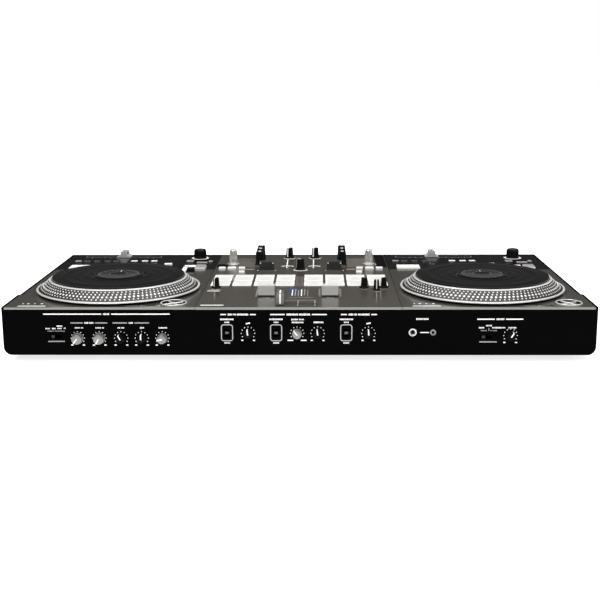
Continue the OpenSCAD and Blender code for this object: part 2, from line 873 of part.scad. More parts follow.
power_switch();
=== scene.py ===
import json
import math
import random

import bmesh
import bpy
from mathutils import Matrix, Vector

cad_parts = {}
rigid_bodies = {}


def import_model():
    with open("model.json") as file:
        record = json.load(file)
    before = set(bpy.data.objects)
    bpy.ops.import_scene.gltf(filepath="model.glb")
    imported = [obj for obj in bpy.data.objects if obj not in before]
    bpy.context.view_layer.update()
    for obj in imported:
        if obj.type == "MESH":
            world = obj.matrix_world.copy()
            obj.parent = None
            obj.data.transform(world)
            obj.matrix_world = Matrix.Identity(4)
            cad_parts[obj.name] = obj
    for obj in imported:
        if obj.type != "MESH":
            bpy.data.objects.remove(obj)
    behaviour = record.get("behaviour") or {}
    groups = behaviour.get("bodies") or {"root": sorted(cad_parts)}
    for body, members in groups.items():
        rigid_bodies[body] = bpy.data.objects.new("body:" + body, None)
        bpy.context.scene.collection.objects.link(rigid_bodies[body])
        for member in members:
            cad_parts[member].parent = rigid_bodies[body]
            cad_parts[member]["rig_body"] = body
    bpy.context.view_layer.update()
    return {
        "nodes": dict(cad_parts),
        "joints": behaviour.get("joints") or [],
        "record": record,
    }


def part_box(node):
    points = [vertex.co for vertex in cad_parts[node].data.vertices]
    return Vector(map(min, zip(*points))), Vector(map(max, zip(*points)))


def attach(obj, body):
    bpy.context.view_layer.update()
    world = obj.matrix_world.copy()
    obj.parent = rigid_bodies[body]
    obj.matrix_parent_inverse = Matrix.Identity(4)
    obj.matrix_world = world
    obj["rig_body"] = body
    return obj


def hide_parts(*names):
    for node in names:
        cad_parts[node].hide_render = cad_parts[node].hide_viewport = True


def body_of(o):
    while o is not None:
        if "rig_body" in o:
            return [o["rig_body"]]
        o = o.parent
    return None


# Two-deck dj controller. Lengths below are in millimetres; MM turns them into metres.
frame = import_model()
MM = 0.001
SIDES = {"left": -1, "right": 1}
INK = 0.07              # how far print stands off the surface it is on
KEY_RISE = 4            # the toggle keys rise further than this above the plate, other keys less
STEM_FOOT = -9.4        # lower end of an encoder's shaft, from the plate
random.seed(7)


# ---- where things are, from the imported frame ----

def node_box(node):
    """Lowest and highest corner of a CAD node, in millimetres."""
    lo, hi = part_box(node)
    return lo / MM, hi / MM


def centre(node):
    lo, hi = node_box(node)
    return (lo + hi) / 2


def solids(node):
    """Boxes of the separate solids of a CAD node, from left to right and front to back."""
    mesh = frame["nodes"][node].data
    key = {}
    parent = []
    index = []
    for v in mesh.vertices:
        k = tuple(round(c, 6) for c in v.co)
        if k not in key:
            key[k] = len(parent)
            parent.append(key[k])
        index.append(key[k])

    def root(i):
        while parent[i] != i:
            parent[i] = parent[parent[i]]
            i = parent[i]
        return i

    for p in mesh.polygons:
        first = root(index[p.vertices[0]])
        for v in p.vertices[1:]:
            parent[root(index[v])] = first
    boxes = {}
    for i, v in enumerate(mesh.vertices):
        lo, hi = boxes.setdefault(root(index[i]), ([9e9] * 3, [-9e9] * 3))
        for a in range(3):
            lo[a] = min(lo[a], v.co[a] / MM)
            hi[a] = max(hi[a], v.co[a] / MM)
    found = [(Vector(lo), Vector(hi)) for lo, hi in boxes.values()]
    return sorted(found, key=lambda b: (round(b[0].x), round(b[0].y)))


def joint_of(node):
    return next(j for j in frame["joints"] if j["child"] == node)


def axis_of(node):
    """A point on the joint's axis, in millimetres."""
    return [p / MM for p in joint_of(node)["pos_m"]]


def middle(lo, hi):
    """Middle of a box in plan."""
    return (lo.x + hi.x) / 2, (lo.y + hi.y) / 2


def circle(r, n, x=0.0, y=0.0):
    return [(x + r * math.cos(2 * math.pi * i / n), y + r * math.sin(2 * math.pi * i / n))
            for i in range(n)]


PLATE_Z = node_box("deck_plates")[1].z
FRONT_Y = node_box("case_shell")[0].y
REAR_Y = node_box("rear_panel")[1].y
DECKS = {side: centre("platter_" + side) for side in SIDES}


# ---- materials ----

class Nodes:
    """A material's node tree, with short calls for what the materials below share."""

    def __init__(self, name):
        self.material = bpy.data.materials.new(name)
        self.material.use_nodes = True
        self.tree = self.material.node_tree
        self.shader = self.tree.nodes["Principled BSDF"]
        self.place = self.tree.nodes.new("ShaderNodeTexCoord").outputs["Object"]

    def link(self, a, b):
        self.tree.links.new(a, b)

    def set(self, **values):
        for name, value in values.items():
            self.shader.inputs[name.replace("_", " ")].default_value = value

    def noise(self, scale, detail=3.0, rough=0.55, stretch=None):
        node = self.tree.nodes.new("ShaderNodeTexNoise")
        node.inputs["Scale"].default_value = scale
        node.inputs["Detail"].default_value = detail
        node.inputs["Roughness"].default_value = rough
        self.link(self.stretched(stretch) if stretch else self.place, node.inputs["Vector"])
        return node.outputs["Fac"]

    def stretched(self, factors):
        node = self.tree.nodes.new("ShaderNodeMapping")
        node.inputs["Scale"].default_value = factors
        self.link(self.place, node.inputs["Vector"])
        return node.outputs["Vector"]

    def cells(self, scale):
        node = self.tree.nodes.new("ShaderNodeTexVoronoi")
        node.inputs["Scale"].default_value = scale
        self.link(self.place, node.inputs["Vector"])
        return node.outputs["Distance"]

    def ramp(self, value, stops):
        node = self.tree.nodes.new("ShaderNodeValToRGB")
        ramp = node.color_ramp
        while len(ramp.elements) < len(stops):
            ramp.elements.new(0.5)
        for element, (at, colour) in zip(ramp.elements, stops):
            element.position = at
            element.color = (*colour, 1.0)
        self.link(value, node.inputs["Fac"])
        return node.outputs["Color"]

    def span(self, value, low, high):
        node = self.tree.nodes.new("ShaderNodeMapRange")
        node.inputs["To Min"].default_value = low
        node.inputs["To Max"].default_value = high
        self.link(value, node.inputs["Value"])
        return node.outputs["Result"]

    def math(self, kind, a, b=None):
        node = self.tree.nodes.new("ShaderNodeMath")
        node.operation = kind
        for socket, value in zip(node.inputs, (a, b)):
            if isinstance(value, (int, float)):
                socket.default_value = value
            elif value is not None:
                self.link(value, socket)
        return node.outputs["Value"]

    def radius(self):
        """Distance from the object's own Z axis, in metres."""
        flat = self.tree.nodes.new("ShaderNodeVectorMath")
        flat.operation = "MULTIPLY"
        flat.inputs[1].default_value = (1.0, 1.0, 0.0)
        self.link(self.place, flat.inputs[0])
        length = self.tree.nodes.new("ShaderNodeVectorMath")
        length.operation = "LENGTH"
        self.link(flat.outputs["Vector"], length.inputs[0])
        return length.outputs["Value"]

    def bump(self, height, strength, distance):
        node = self.tree.nodes.new("ShaderNodeBump")
        node.inputs["Strength"].default_value = strength
        node.inputs["Distance"].default_value = distance
        self.link(height, node.inputs["Height"])
        self.link(node.outputs["Normal"], self.shader.inputs["Normal"])

    def colour(self, socket):
        self.link(socket, self.shader.inputs["Base Color"])

    def roughness(self, socket):
        self.link(socket, self.shader.inputs["Roughness"])


def tinted(colour, by):
    return tuple(min(1.0, c * by) for c in colour)


def moulded(name, colour, rough, grain=700.0, depth=0.05, gleam=0.5):
    """Moulded or painted surface: slow colour drift, fine texture and a little uneven gloss."""
    n = Nodes(name)
    drift = n.noise(9.0, 4.0)
    n.colour(n.ramp(drift, [(0.3, tinted(colour, 0.88)), (0.7, tinted(colour, 1.12))]))
    fine = n.noise(grain, 2.0)
    n.roughness(n.span(n.noise(60.0, 4.0), rough * 0.85, rough * 1.15))
    n.bump(fine, 0.35, depth * MM)
    n.set(Coat_Roughness=0.08, Specular_IOR_Level=gleam)
    return n.material


def brushed(name, colour, rough, stretch=(1.0, 40.0, 1.0), metal=0.55):
    """Metal with fine lines along one way."""
    n = Nodes(name)
    lines = n.noise(320.0, 3.0, 0.6, stretch)
    n.colour(n.ramp(lines, [(0.3, tinted(colour, 0.86)), (0.7, tinted(colour, 1.08))]))
    n.roughness(n.span(lines, rough * 0.75, rough * 1.3))
    n.bump(lines, 0.12, 0.02 * MM)
    n.set(Metallic=metal)
    return n.material


def turned(name, colour, rough, pitch=0.35, metal=0.55):
    """Lathe-turned metal: fine rings about the object's own Z axis."""
    n = Nodes(name)
    rings = n.math("SINE", n.math("MULTIPLY", n.radius(), 2 * math.pi / (pitch * MM)))
    fine = n.noise(500.0, 3.0)
    n.colour(n.ramp(fine, [(0.25, tinted(colour, 0.9)), (0.75, tinted(colour, 1.05))]))
    n.roughness(n.span(fine, rough * 0.8, rough * 1.25))
    n.bump(rings, 0.1, 0.012 * MM)
    n.set(Metallic=metal)
    return n.material


def flake_paint(name, colour, rough):
    """Dark metallic paint with small bright flakes under a thin lacquer."""
    n = Nodes(name)
    flakes = n.cells(2600.0)
    n.colour(n.ramp(flakes, [(0.05, tinted(colour, 1.5)), (0.35, colour),
                             (0.9, tinted(colour, 0.85))]))
    smudge = n.noise(14.0, 5.0, 0.6)
    n.roughness(n.span(smudge, rough * 0.82, rough * 1.18))
    n.bump(n.noise(900.0, 2.0), 0.16, 0.02 * MM)
    n.set(Metallic=0.3, Coat_Weight=0.9, Coat_Roughness=0.13)
    return n.material


def gloss_black(name, colour=(0.007, 0.007, 0.0075), rough=0.12):
    n = Nodes(name)
    smudge = n.noise(22.0, 5.0, 0.65)
    n.colour(n.ramp(smudge, [(0.3, colour), (0.8, tinted(colour, 1.5))]))
    n.roughness(n.span(smudge, rough * 0.7, rough * 1.8))
    n.bump(n.noise(30.0, 2.0), 0.05, 0.05 * MM)
    n.set(Specular_IOR_Level=0.14)
    return n.material


def vinyl(name):
    """Record surface: grooves about the object's own Z axis, with quiet bands between tracks."""
    n = Nodes(name)
    r = n.radius()
    groove = n.math("SINE", n.math("MULTIPLY", r, 2 * math.pi / (0.28 * MM)))
    band = n.math("SINE", n.math("MULTIPLY", r, 2 * math.pi / (11.0 * MM)))
    cut = n.math("MULTIPLY", groove, n.span(band, 0.4, 1.0))
    n.colour(n.ramp(n.noise(18.0, 4.0), [(0.3, (0.007, 0.007, 0.008)),
                                         (0.75, (0.013, 0.013, 0.014))]))
    n.roughness(n.span(band, 0.2, 0.23))
    n.set(Specular_IOR_Level=0.2)
    n.bump(cut, 0.05, 0.01 * MM)
    return n.material


def felt(name, colour):
    n = Nodes(name)
    fibre = n.noise(1800.0, 5.0, 0.7)
    n.colour(n.ramp(fibre, [(0.3, tinted(colour, 0.7)), (0.75, tinted(colour, 1.5))]))
    n.set(Roughness=0.95, Sheen_Weight=0.3)
    n.bump(fibre, 0.6, 0.15 * MM)
    return n.material


def silicone(name, colour, glow):
    """Milky pad rubber; glow is painted light, a faint self-glow that keeps the white rubber
    bright.
    """
    n = Nodes(name)
    fine = n.noise(260.0, 3.0)
    n.colour(n.ramp(fine, [(0.3, tinted(colour, 0.97)), (0.7, colour)]))
    n.roughness(n.span(n.noise(90.0, 3.0), 0.42, 0.58))
    n.bump(n.noise(1500.0, 2.0), 0.2, 0.02 * MM)
    # Emission_Strength glow is painted light: it keeps the white rubber bright
    n.set(Subsurface_Weight=0.15, Subsurface_Radius=(0.004, 0.004, 0.0035),
          Emission_Color=(1.0, 0.99, 0.97, 1.0), Emission_Strength=glow)
    return n.material


def ink(name, colour, glow=0.0):
    """Print; glow keeps white lettering bright where the light falls at a low angle."""
    n = Nodes(name)
    worn = n.noise(420.0, 4.0, 0.6)
    n.colour(n.ramp(worn, [(0.25, tinted(colour, 0.88)), (0.6, colour)]))
    n.set(Roughness=0.55, Emission_Color=(1.0, 0.99, 0.97, 1.0), Emission_Strength=glow)
    n.bump(worn, 0.15, 0.01 * MM)
    return n.material


def jog_screen(name):
    """Dark screen that shows a dim ring about its centre."""
    n = Nodes(name)
    r = n.radius()
    ring = n.math("MULTIPLY", r, 1 / (40 * MM))
    shade = n.ramp(ring, [(0.0, (0.012, 0.012, 0.014)), (0.28, (0.012, 0.012, 0.014)),
                          (0.34, (0.05, 0.048, 0.046)), (0.62, (0.06, 0.055, 0.05)),
                          (0.7, (0.02, 0.02, 0.021)), (0.9, (0.01, 0.01, 0.011))])
    n.colour(shade)
    n.roughness(n.span(n.noise(40.0, 3.0), 0.1, 0.2))
    n.bump(n.noise(25.0, 2.0), 0.04, 0.04 * MM)
    return n.material


def circuit_board(name):
    n = Nodes(name)
    tracks = n.cells(260.0)
    n.colour(n.ramp(tracks, [(0.1, (0.02, 0.16, 0.07)), (0.2, (0.008, 0.075, 0.032)),
                             (0.8, (0.01, 0.09, 0.04))]))
    n.roughness(n.span(tracks, 0.3, 0.45))
    n.bump(tracks, 0.2, 0.05 * MM)
    return n.material


CASE = moulded("case_plastic", (0.0014, 0.0013, 0.0014), 0.5, grain=950, depth=0.06, gleam=0.015)
TRAY = moulded("tray_powder_coat", (0.025, 0.025, 0.027), 0.6, grain=600, depth=0.09)
PLATE = flake_paint("plate_paint", (0.083, 0.075, 0.064), 0.34)
MIXER = flake_paint("mixer_paint", (0.104, 0.093, 0.077), 0.33)
PLATE_EDGE = brushed("plate_cut_edge", (0.26, 0.255, 0.245), 0.4, (1.0, 1.0, 30.0))
STRIP = gloss_black("strip_gloss")
PANEL = moulded("panel_paint", (0.005, 0.005, 0.0055), 0.5, grain=700, gleam=0.08)
RUBBER = moulded("foot_rubber", (0.02, 0.02, 0.02), 0.85, grain=500, depth=0.12)
SCREW = brushed("screw_steel", (0.05, 0.05, 0.052), 0.35)
BOARD = circuit_board("board_mask")
SHEET = brushed("supply_sheet", (0.62, 0.63, 0.65), 0.35)
MOTOR = turned("motor_steel", (0.45, 0.46, 0.48), 0.3, 0.8)
CAST = turned("platter_bright", (0.95, 0.94, 0.92), 0.24, metal=0.3)
WALL = turned("platter_wall", (0.052, 0.05, 0.047), 0.4, metal=0.5)
DOT = brushed("strobe_dot", (0.97, 0.96, 0.93), 0.25, metal=0.1)
MAT = felt("slip_mat_felt", (0.03, 0.03, 0.032))
VINYL = vinyl("record_vinyl")
SCREEN = jog_screen("jog_screen")
BEZEL = gloss_black("display_bezel", (0.02, 0.02, 0.022), 0.16)
SATIN = brushed("silver_satin", (0.66, 0.66, 0.66), 0.28)
BROWSE = turned("browse_metal", (0.84, 0.82, 0.77), 0.25, metal=0.7)
GREY_METAL = brushed("knob_metal", (0.24, 0.236, 0.225), 0.33, metal=0.6)
CHROME = brushed("cap_chrome", (0.92, 0.9, 0.86), 0.3, metal=0.5)
FRONT_BLACK = moulded("front_knob", (0.003, 0.003, 0.0032), 0.45, grain=900, depth=0.04, gleam=0.04)
KNOB = moulded("knob_plastic", (0.006, 0.006, 0.0064), 0.32, grain=900, depth=0.04, gleam=0.12)
KNOB_TOP = moulded("knob_top", (0.014, 0.014, 0.015), 0.2, grain=500, depth=0.02, gleam=0.4)
PADDLE = moulded("paddle_plastic", (0.028, 0.028, 0.03), 0.4, grain=900, gleam=0.3)
FADER = moulded("fader_plastic", (0.62, 0.61, 0.59), 0.36, grain=800)
CROSS = moulded("crossfader_plastic", (0.14, 0.135, 0.128), 0.36, grain=800)
# lighter tint for the fader tops: a painted highlight
FADER_PAINTED_HIGHLIGHT = moulded("fader_top_painted_highlight", (0.8, 0.79, 0.775), 0.3, grain=800)
SWITCH = moulded("switch_plastic", (0.012, 0.012, 0.013), 0.4, grain=800, gleam=0.2)
# the glow of the white keys is painted light that keeps them bright
KEY_WHITE = silicone("key_white", (0.86, 0.86, 0.84), 0.12)
KEY_GREY = moulded("key_grey", (0.33, 0.33, 0.325), 0.38, grain=800)
KEY_ROSE = moulded("key_rose", (0.42, 0.34, 0.33), 0.38, grain=800)
KEY_DARK = moulded("key_dark", (0.06, 0.06, 0.062), 0.35, grain=800)
# the glow of the pads is painted light that keeps them bright
PAD = silicone("pad_silicone", (0.86, 0.85, 0.82), 0.1)
PAD_RIB = silicone("pad_rib", (0.45, 0.44, 0.41), 0.0)
WHITE = ink("print_white", (0.88, 0.88, 0.86), 0.16)
DIM = ink("print_grey", (0.3, 0.3, 0.29))
SOFT_WHITE = ink("print_soft_white", (0.5, 0.5, 0.49))
BEIGE = ink("print_beige", (0.42, 0.39, 0.34))
# dark print; in the screw heads the same dark is painted shade of a cross recess
DARK_PRINT_AND_SHADE = moulded("print_dark_and_painted_shade", (0.004, 0.004, 0.004), 0.5, grain=900, depth=0.02, gleam=0.03)
RED = ink("mark_red", (0.5, 0.06, 0.05))
BLUE = ink("mark_blue", (0.25, 0.36, 0.6))
BLUE_DEEP = ink("mark_deep_blue", (0.03, 0.06, 0.2))
WINDOW = gloss_black("effect_window", (0.17, 0.16, 0.145), 0.3)
COPPER = ink("print_copper", (0.3, 0.22, 0.17))
METER = gloss_black("meter_strip", (0.13, 0.11, 0.105), 0.25)
SOCKET = brushed("socket_plating", (0.66, 0.66, 0.67), 0.22)
INSIDE = moulded("socket_inside", (0.01, 0.01, 0.01), 0.5)


# ---- mesh building ----

def piece(bm, name, materials, body, at=(0, 0, 0), turn=None, replaces=(), sharp=32):
    """Turns a bmesh in millimetres into an object that rides on a body.
    Edges steeper than sharp degrees stay crisp; 0 keeps the shading that the faces came with."""
    bmesh.ops.recalc_face_normals(bm, faces=bm.faces)
    bmesh.ops.scale(bm, vec=(MM, MM, MM), verts=bm.verts)
    mesh = bpy.data.meshes.new(name)
    bm.to_mesh(mesh)
    bm.free()
    for material in materials:
        mesh.materials.append(material)
    if sharp:
        mesh.shade_smooth()
        mesh.set_sharp_from_angle(angle=math.radians(sharp))
    obj = bpy.data.objects.new(name, mesh)
    bpy.context.scene.collection.objects.link(obj)
    obj.matrix_world = Matrix.Translation(Vector(at) * MM) @ (turn or Matrix.Identity(4))
    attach(obj, body)
    if replaces:
        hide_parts(*replaces)
    return obj


def skin(bm, rings, mat=0, closed=False, first=None):
    """Faces between rings of points; a ring of one point is a pole.
    first is the material of the first band and of the end it starts from."""
    made = [[bm.verts.new(p) for p in ring] for ring in rings]
    start = mat if first is None else first
    pairs = list(zip(made, made[1:]))
    if closed:
        pairs.append((made[-1], made[0]))
    for band, (a, b) in enumerate(pairs):
        n = max(len(a), len(b))
        for i in range(n):
            j = (i + 1) % n
            corners = [a[i % len(a)], a[j % len(a)], b[j % len(b)], b[i % len(b)]]
            corners = list(dict.fromkeys(corners))
            if len(corners) > 2:
                bm.faces.new(corners).material_index = start if band == 0 else mat
    if not closed:
        for ring, tint in ((made[0], start), (made[-1], mat)):
            if len(ring) > 2:
                bm.faces.new(ring).material_index = tint
    return made


def lathe(bm, profile, seg=64, mat=0, closed=False, at=(0, 0), ribs=0, cut=0.0, ribbed=(0, 0)):
    """Turns a (radius, height) profile about Z, with ribs cut between two heights."""
    rings = []
    for r, z in profile:
        if r < 1e-6:
            rings.append([(at[0], at[1], z)])
            continue
        ring = []
        for i in range(seg):
            a = 2 * math.pi * i / seg
            rr = r
            if ribs and ribbed[0] <= z <= ribbed[1]:
                rr -= cut * (0.5 - 0.5 * math.cos(ribs * a)) ** 0.7
            ring.append((at[0] + rr * math.cos(a), at[1] + rr * math.sin(a), z))
        rings.append(ring)
    return skin(bm, rings, mat, closed)


def rounded(w, d, r, k=4):
    """Points of a rounded rectangle about the origin."""
    r = max(min(r, w / 2 - 0.01, d / 2 - 0.01), 0.01)
    points = []
    for q, (sx, sy) in enumerate([(1, 1), (-1, 1), (-1, -1), (1, -1)]):
        for i in range(k + 1):
            a = math.pi / 2 * (q + i / k)
            points.append((sx * (w / 2 - r) + r * math.cos(a), sy * (d / 2 - r) + r * math.sin(a)))
    return points


def cap(bm, x, y, z, w, d, h, r, edge, dish, mat=0, wall=None):
    """Key cap standing on z: rounded corners, rolled top edge and a dished top.
    wall is the material of its upright sides."""
    levels = [(0.0, 0.0), (h - edge, 0.0)]
    steps = 4
    for i in range(1, steps + 1):
        a = math.pi / 2 * i / steps
        levels.append((h - edge + edge * math.sin(a), edge * (1 - math.cos(a))))
    if dish:
        inner = min(w, d) / 2
        for t in (0.25, 0.5, 0.75, 0.95):
            inset = edge + (inner - edge) * t
            levels.append((h - dish * math.sin(math.pi / 2 * t), inset))
    rings = []
    for dz, inset in levels:
        outline = rounded(w - 2 * inset, d - 2 * inset, r - inset * 0.6)
        rings.append([(x + px, y + py, z + dz) for px, py in outline])
    skin(bm, rings, mat, first=wall)


def solid_profile(bm, points, length, frame_of, mat=0, bevel=0.4, segments=3):
    """Extrudes an outline by length about its middle and softens its edges.
    frame_of maps (along, across, up) to a point."""
    rings = [[frame_of(s * length / 2, px, pz) for px, pz in points] for s in (-1, 1)]
    before = set(bm.edges)
    skin(bm, rings, mat)
    edges = [e for e in bm.edges if e not in before]
    sharp = [e for e in edges if len(e.link_faces) == 2 and e.calc_face_angle(0) > math.radians(25)]
    bmesh.ops.bevel(bm, geom=sharp, offset=bevel, segments=segments, profile=0.5, affect="EDGES",
                    clamp_overlap=True, material=-1)


class Ink:
    """Print on a plane. across and up span the plane, out stands off it; millimetres."""

    def __init__(self, origin, across, up, inks, thick=INK, bm=None):
        self.bm = bmesh.new() if bm is None else bm
        self.o, self.u, self.v = Vector(origin), Vector(across), Vector(up)
        self.n = self.u.cross(self.v)
        self.thick = thick
        self.inks = inks
        self.mat = 0

    def use(self, ink):
        self.mat = self.inks.index(ink)

    def shape(self, points):
        base = [self.o + self.u * x + self.v * y for x, y in points]
        top = [tuple(p + self.n * self.thick) for p in base]
        skin(self.bm, [[tuple(p) for p in base], top], self.mat)

    def bar(self, x, y, w, h, angle=0.0, r=0.25):
        c, s = math.cos(math.radians(angle)), math.sin(math.radians(angle))
        outline = rounded(w, h, min(r, w / 2, h / 2), 3)
        self.shape([(x + px * c - py * s, y + px * s + py * c) for px, py in outline])

    def dot(self, x, y, r, n=14):
        self.shape(circle(r, n, x, y))

    def arc(self, x, y, r, t, a0, a1, n=24):
        """Band of mean radius r and width t from angle a0 to a1, in degrees from across."""
        outer, inner = [], []
        for i in range(n + 1):
            a = math.radians(a0 + (a1 - a0) * i / n)
            outer.append((x + (r + t / 2) * math.cos(a), y + (r + t / 2) * math.sin(a)))
            inner.append((x + (r - t / 2) * math.cos(a), y + (r - t / 2) * math.sin(a)))
        for i in range(n):
            self.shape([outer[i], outer[i + 1], inner[i + 1], inner[i]])

    def box(self, x, y, w, h, t, r):
        """Outline of a rounded rectangle."""
        outer, inner = rounded(w, h, r, 5), rounded(w - 2 * t, h - 2 * t, r - t, 5)
        n = len(outer)
        for i in range(n):
            j = (i + 1) % n
            self.shape([(x + p[0], y + p[1]) for p in (outer[i], outer[j], inner[j], inner[i])])

    def words(self, x, y, w, h=1.7, parts=(1,), block=1.15, gap=0.5):
        """A label: rows of small blocks in place of lettering, one run of them for each part."""
        space = 1.5 * (len(parts) - 1)
        at = x - w / 2
        for part in parts:
            width = (w - space) * part / sum(parts)
            count = max(1, round((width + gap) / (block + gap)))
            each = (width + gap) / count - gap
            for i in range(count):
                tall = h * random.choice((0.8, 0.9, 1.0))
                self.bar(at + each / 2 + i * (each + gap), y, each, tall, r=0.2)
            at += width + 1.5

    def ticks(self, x, y, r, angles, size=0.55):
        for a in angles:
            self.dot(x + r * math.sin(math.radians(a)), y + r * math.cos(math.radians(a)), size, 10)

    def done(self, name, slot="plate_grey"):
        piece(self.bm, name, self.inks, "chassis")


def softened(node, name, materials, width=0.35, edge=None):
    """The CAD node's own shape with its sharp edges rolled, standing for that node."""
    bm = bmesh.new()
    bm.from_mesh(frame["nodes"][node].data)
    bmesh.ops.scale(bm, vec=(1 / MM,) * 3, verts=bm.verts)
    bmesh.ops.remove_doubles(bm, verts=bm.verts, dist=0.001)
    bmesh.ops.dissolve_limit(bm, angle_limit=math.radians(0.5), verts=bm.verts, edges=bm.edges)
    sharp = [e for e in bm.edges
             if len(e.link_faces) == 2 and e.calc_face_angle(0) > math.radians(40)]
    rolled = set(bmesh.ops.bevel(bm, geom=sharp, offset=width, segments=2, profile=0.5,
                                 affect="EDGES", clamp_overlap=True, material=-1)["faces"])
    bm.normal_update()
    for f in bm.faces:
        f.material_index = edge(f) if edge else 0
        f.smooth = f in rolled or any(curved(e, rolled) for e in f.edges)
    body = body_of(frame["nodes"][node])[0]
    piece(bm, name, materials, body, replaces=[node], sharp=0)


def curved(edge, rolled):
    """True for an edge between two facets of one curved wall."""
    if len(edge.link_faces) != 2 or any(f in rolled for f in edge.link_faces):
        return False
    return math.radians(1) < edge.calc_face_angle(0) < math.radians(40)


# ---- case and plates ----

def keep(node, material):
    """A CAD node that stays in view with a finished material."""
    mesh = frame["nodes"][node].data
    mesh.materials.clear()
    mesh.materials.append(material)
    mesh.shade_smooth()
    mesh.set_sharp_from_angle(angle=math.radians(30))


def build_case():
    softened("case_shell", "case_shell_soft", [CASE], 0.5)
    softened("bottom_tray", "bottom_tray_soft", [TRAY], 0.2)
    softened("deck_plates", "deck_plates_soft", [PLATE, PLATE_EDGE], 0.3, front_edge)
    softened("mixer_plate", "mixer_plate_soft", [MIXER, PLATE_EDGE], 0.3, front_edge)
    softened("control_strips", "control_strips_soft", [STRIP], 0.3)
    softened("rear_panel", "rear_panel_soft", [PANEL], 0.2)
    keep("main_boards", BOARD)
    keep("power_supply", SHEET)
    keep("platter_motors", MOTOR)


def front_edge(face):
    """The plates' front edge is bare metal."""
    return 1 if face.calc_center_median().y < FRONT_Y + 0.6 and face.normal.y < -0.9 else 0


def build_feet():
    """Rubber pucks with a screw well, a rolled lower edge and a groove round the side."""
    bm = bmesh.new()
    for lo, hi in solids("rubber_feet"):
        r, h = (hi.x - lo.x) / 2, hi.z
        well = [(0, 1.2), (3.4, 1.2), (3.4, 0.5), (3.8, 0.0)]
        edge = [(r - 3, 0.0), (r - 2.4, 0.2), (r - 1.8, 0.8), (r - 1.2, 2.2)]
        groove = [(r - 0.9, 3.0), (r - 1.2, 3.3), (r - 0.9, 3.6)]
        side = [(r - 0.2, h - 1.2), (r, h - 0.6), (r, h), (0, h)]
        lathe(bm, well + edge + groove + side, 48, at=middle(lo, hi))
    piece(bm, "rubber_feet_soft", [RUBBER], "chassis", replaces=["rubber_feet"])


def build_screws():
    """Pan-head screws from below, with a dark cross in the head: painted shade where a cross recess
    would be.
    """
    bm = bmesh.new()
    cross = rounded(2.9, 0.6, 0.2, 2)
    for lo, hi in solids("case_screws"):
        x, y = middle(lo, hi)
        r, z = (hi.x - lo.x) / 2, lo.z
        head = [(0, z + 0.7), (0.6, z + 0.6), (0.9, z + 0.08), (1.4, z), (r - 0.5, z + 0.25),
                (r - 0.1, z + 0.7), (r, z + 1.1)]
        shank = [(1.45, z + 1.1), (1.45, hi.z - 1), (0.6, hi.z), (0, hi.z)]
        lathe(bm, head + shank, 28, at=(x, y))
        # the dark cross is painted shade standing for the recess in the head
        for a in (0, 90):
            c, s = math.cos(math.radians(a)), math.sin(math.radians(a))
            rings = [[(x + px * c - py * s, y + px * s + py * c, z + dz) for px, py in cross]
                     for dz in (-0.02, 0.3)]
            skin(bm, rings, 1)
    piece(bm, "case_screws_fine", [SCREW, DARK_PRINT_AND_SHADE], "chassis", replaces=["case_screws"])


# ---- jog platters ----

# rows of dots on the wall: share of the way down it, radius of a dot, number of dots
STROBE_ROWS = [(0.14, 0.95, 112), (0.36, 1.15, 111), (0.61, 1.6, 110), (0.86, 1.05, 109)]
RIM_INSET = 18.7        # from the flange's edge to the rim's, in plan
FLANGE_LIFT = 2.8       # under side of the flange above the plate
MAT_THICK = 1.2
LABEL_R = 37.0          # opening of the control record, under the display


def build_platter(side):
    """Bright flange and rim with a dark sloping wall and four rows of bright dots."""
    node = "platter_" + side
    lo, hi = node_box(node)
    at = DECKS[side]
    f = (hi.x - lo.x) / 2                   # radius of the flange
    r = f - RIM_INSET                       # radius of the rim
    z0 = PLATE_Z + FLANGE_LIFT
    top = hi.z - MAT_THICK
    foot, lip = (f - 5.0, z0 + 2.5), (r + 1.0, top - 0.4)
    bm = bmesh.new()
    flange = [(f - 3.2, z0 + 0.3), (f - 1.4, z0), (f - 0.4, z0 + 0.2), (f, z0 + 0.8),
              (f - 0.05, z0 + 1.5), (f - 0.5, z0 + 2.1), (f - 1.3, z0 + 2.4), (f - 2.3, z0 + 2.4),
              (f - 2.8, z0 + 2.1)]
    lathe(bm, flange, 192, 0, closed=True)
    outside = [(f - 6, z0 + 0.2), (f - 2.9, z0 + 0.4), (f - 2.9, z0 + 1.8), (f - 4.0, z0 + 1.7),
               foot, lip, (lip[0] - 1.2, lip[1] + 0.2), (r - 2.5, top), (10.6, top)]
    inside = [(10.6, lo.z), (30, lo.z), (30, 63), (15, 63), (15, top - 4), (r - 6, top - 4),
              (f - 13, z0)]
    lathe(bm, outside + inside, 192, 1, closed=True)
    rim = [(r - 2.9, top - 0.6), (lip[0] - 1.0, lip[1] - 0.1), (lip[0] + 0.1, lip[1] + 0.2),
           (r + 0.5, top + 0.5), (r + 0.2, top + 1.0), (r - 0.2, top + 1.2), (r - 1.4, top + 1.2),
           (r - 1.8, top + 1.0), (r - 2.3, top - 0.1)]
    lathe(bm, rim, 192, 0, closed=True)
    slope = Vector((foot[0] - lip[0], 0, foot[1] - lip[1]))
    normal = Vector((-slope.z, 0, slope.x)).normalized()
    along = slope.normalized()
    for t, size, count in STROBE_ROWS:
        mid = Vector((lip[0], 0, lip[1])) + slope * t
        for i in range(count):
            spin = Matrix.Rotation(2 * math.pi * i / count, 3, "Z")
            strobe_dot(bm, spin, mid, along, normal, size)
    mat = [(12, top + 0.03), (r - 3.2, top + 0.03), (r - 3.0, top + 0.4), (r - 3.1, top + 1.05),
           (r - 3.5, top + 1.2), (12.3, top + 1.2), (12, top + 1.0)]
    lathe(bm, mat, 160, 3, closed=True)
    piece(bm, node + "_fine", [CAST, WALL, DOT, MAT], node, at=(at.x, at.y, 0),
          replaces=[node])


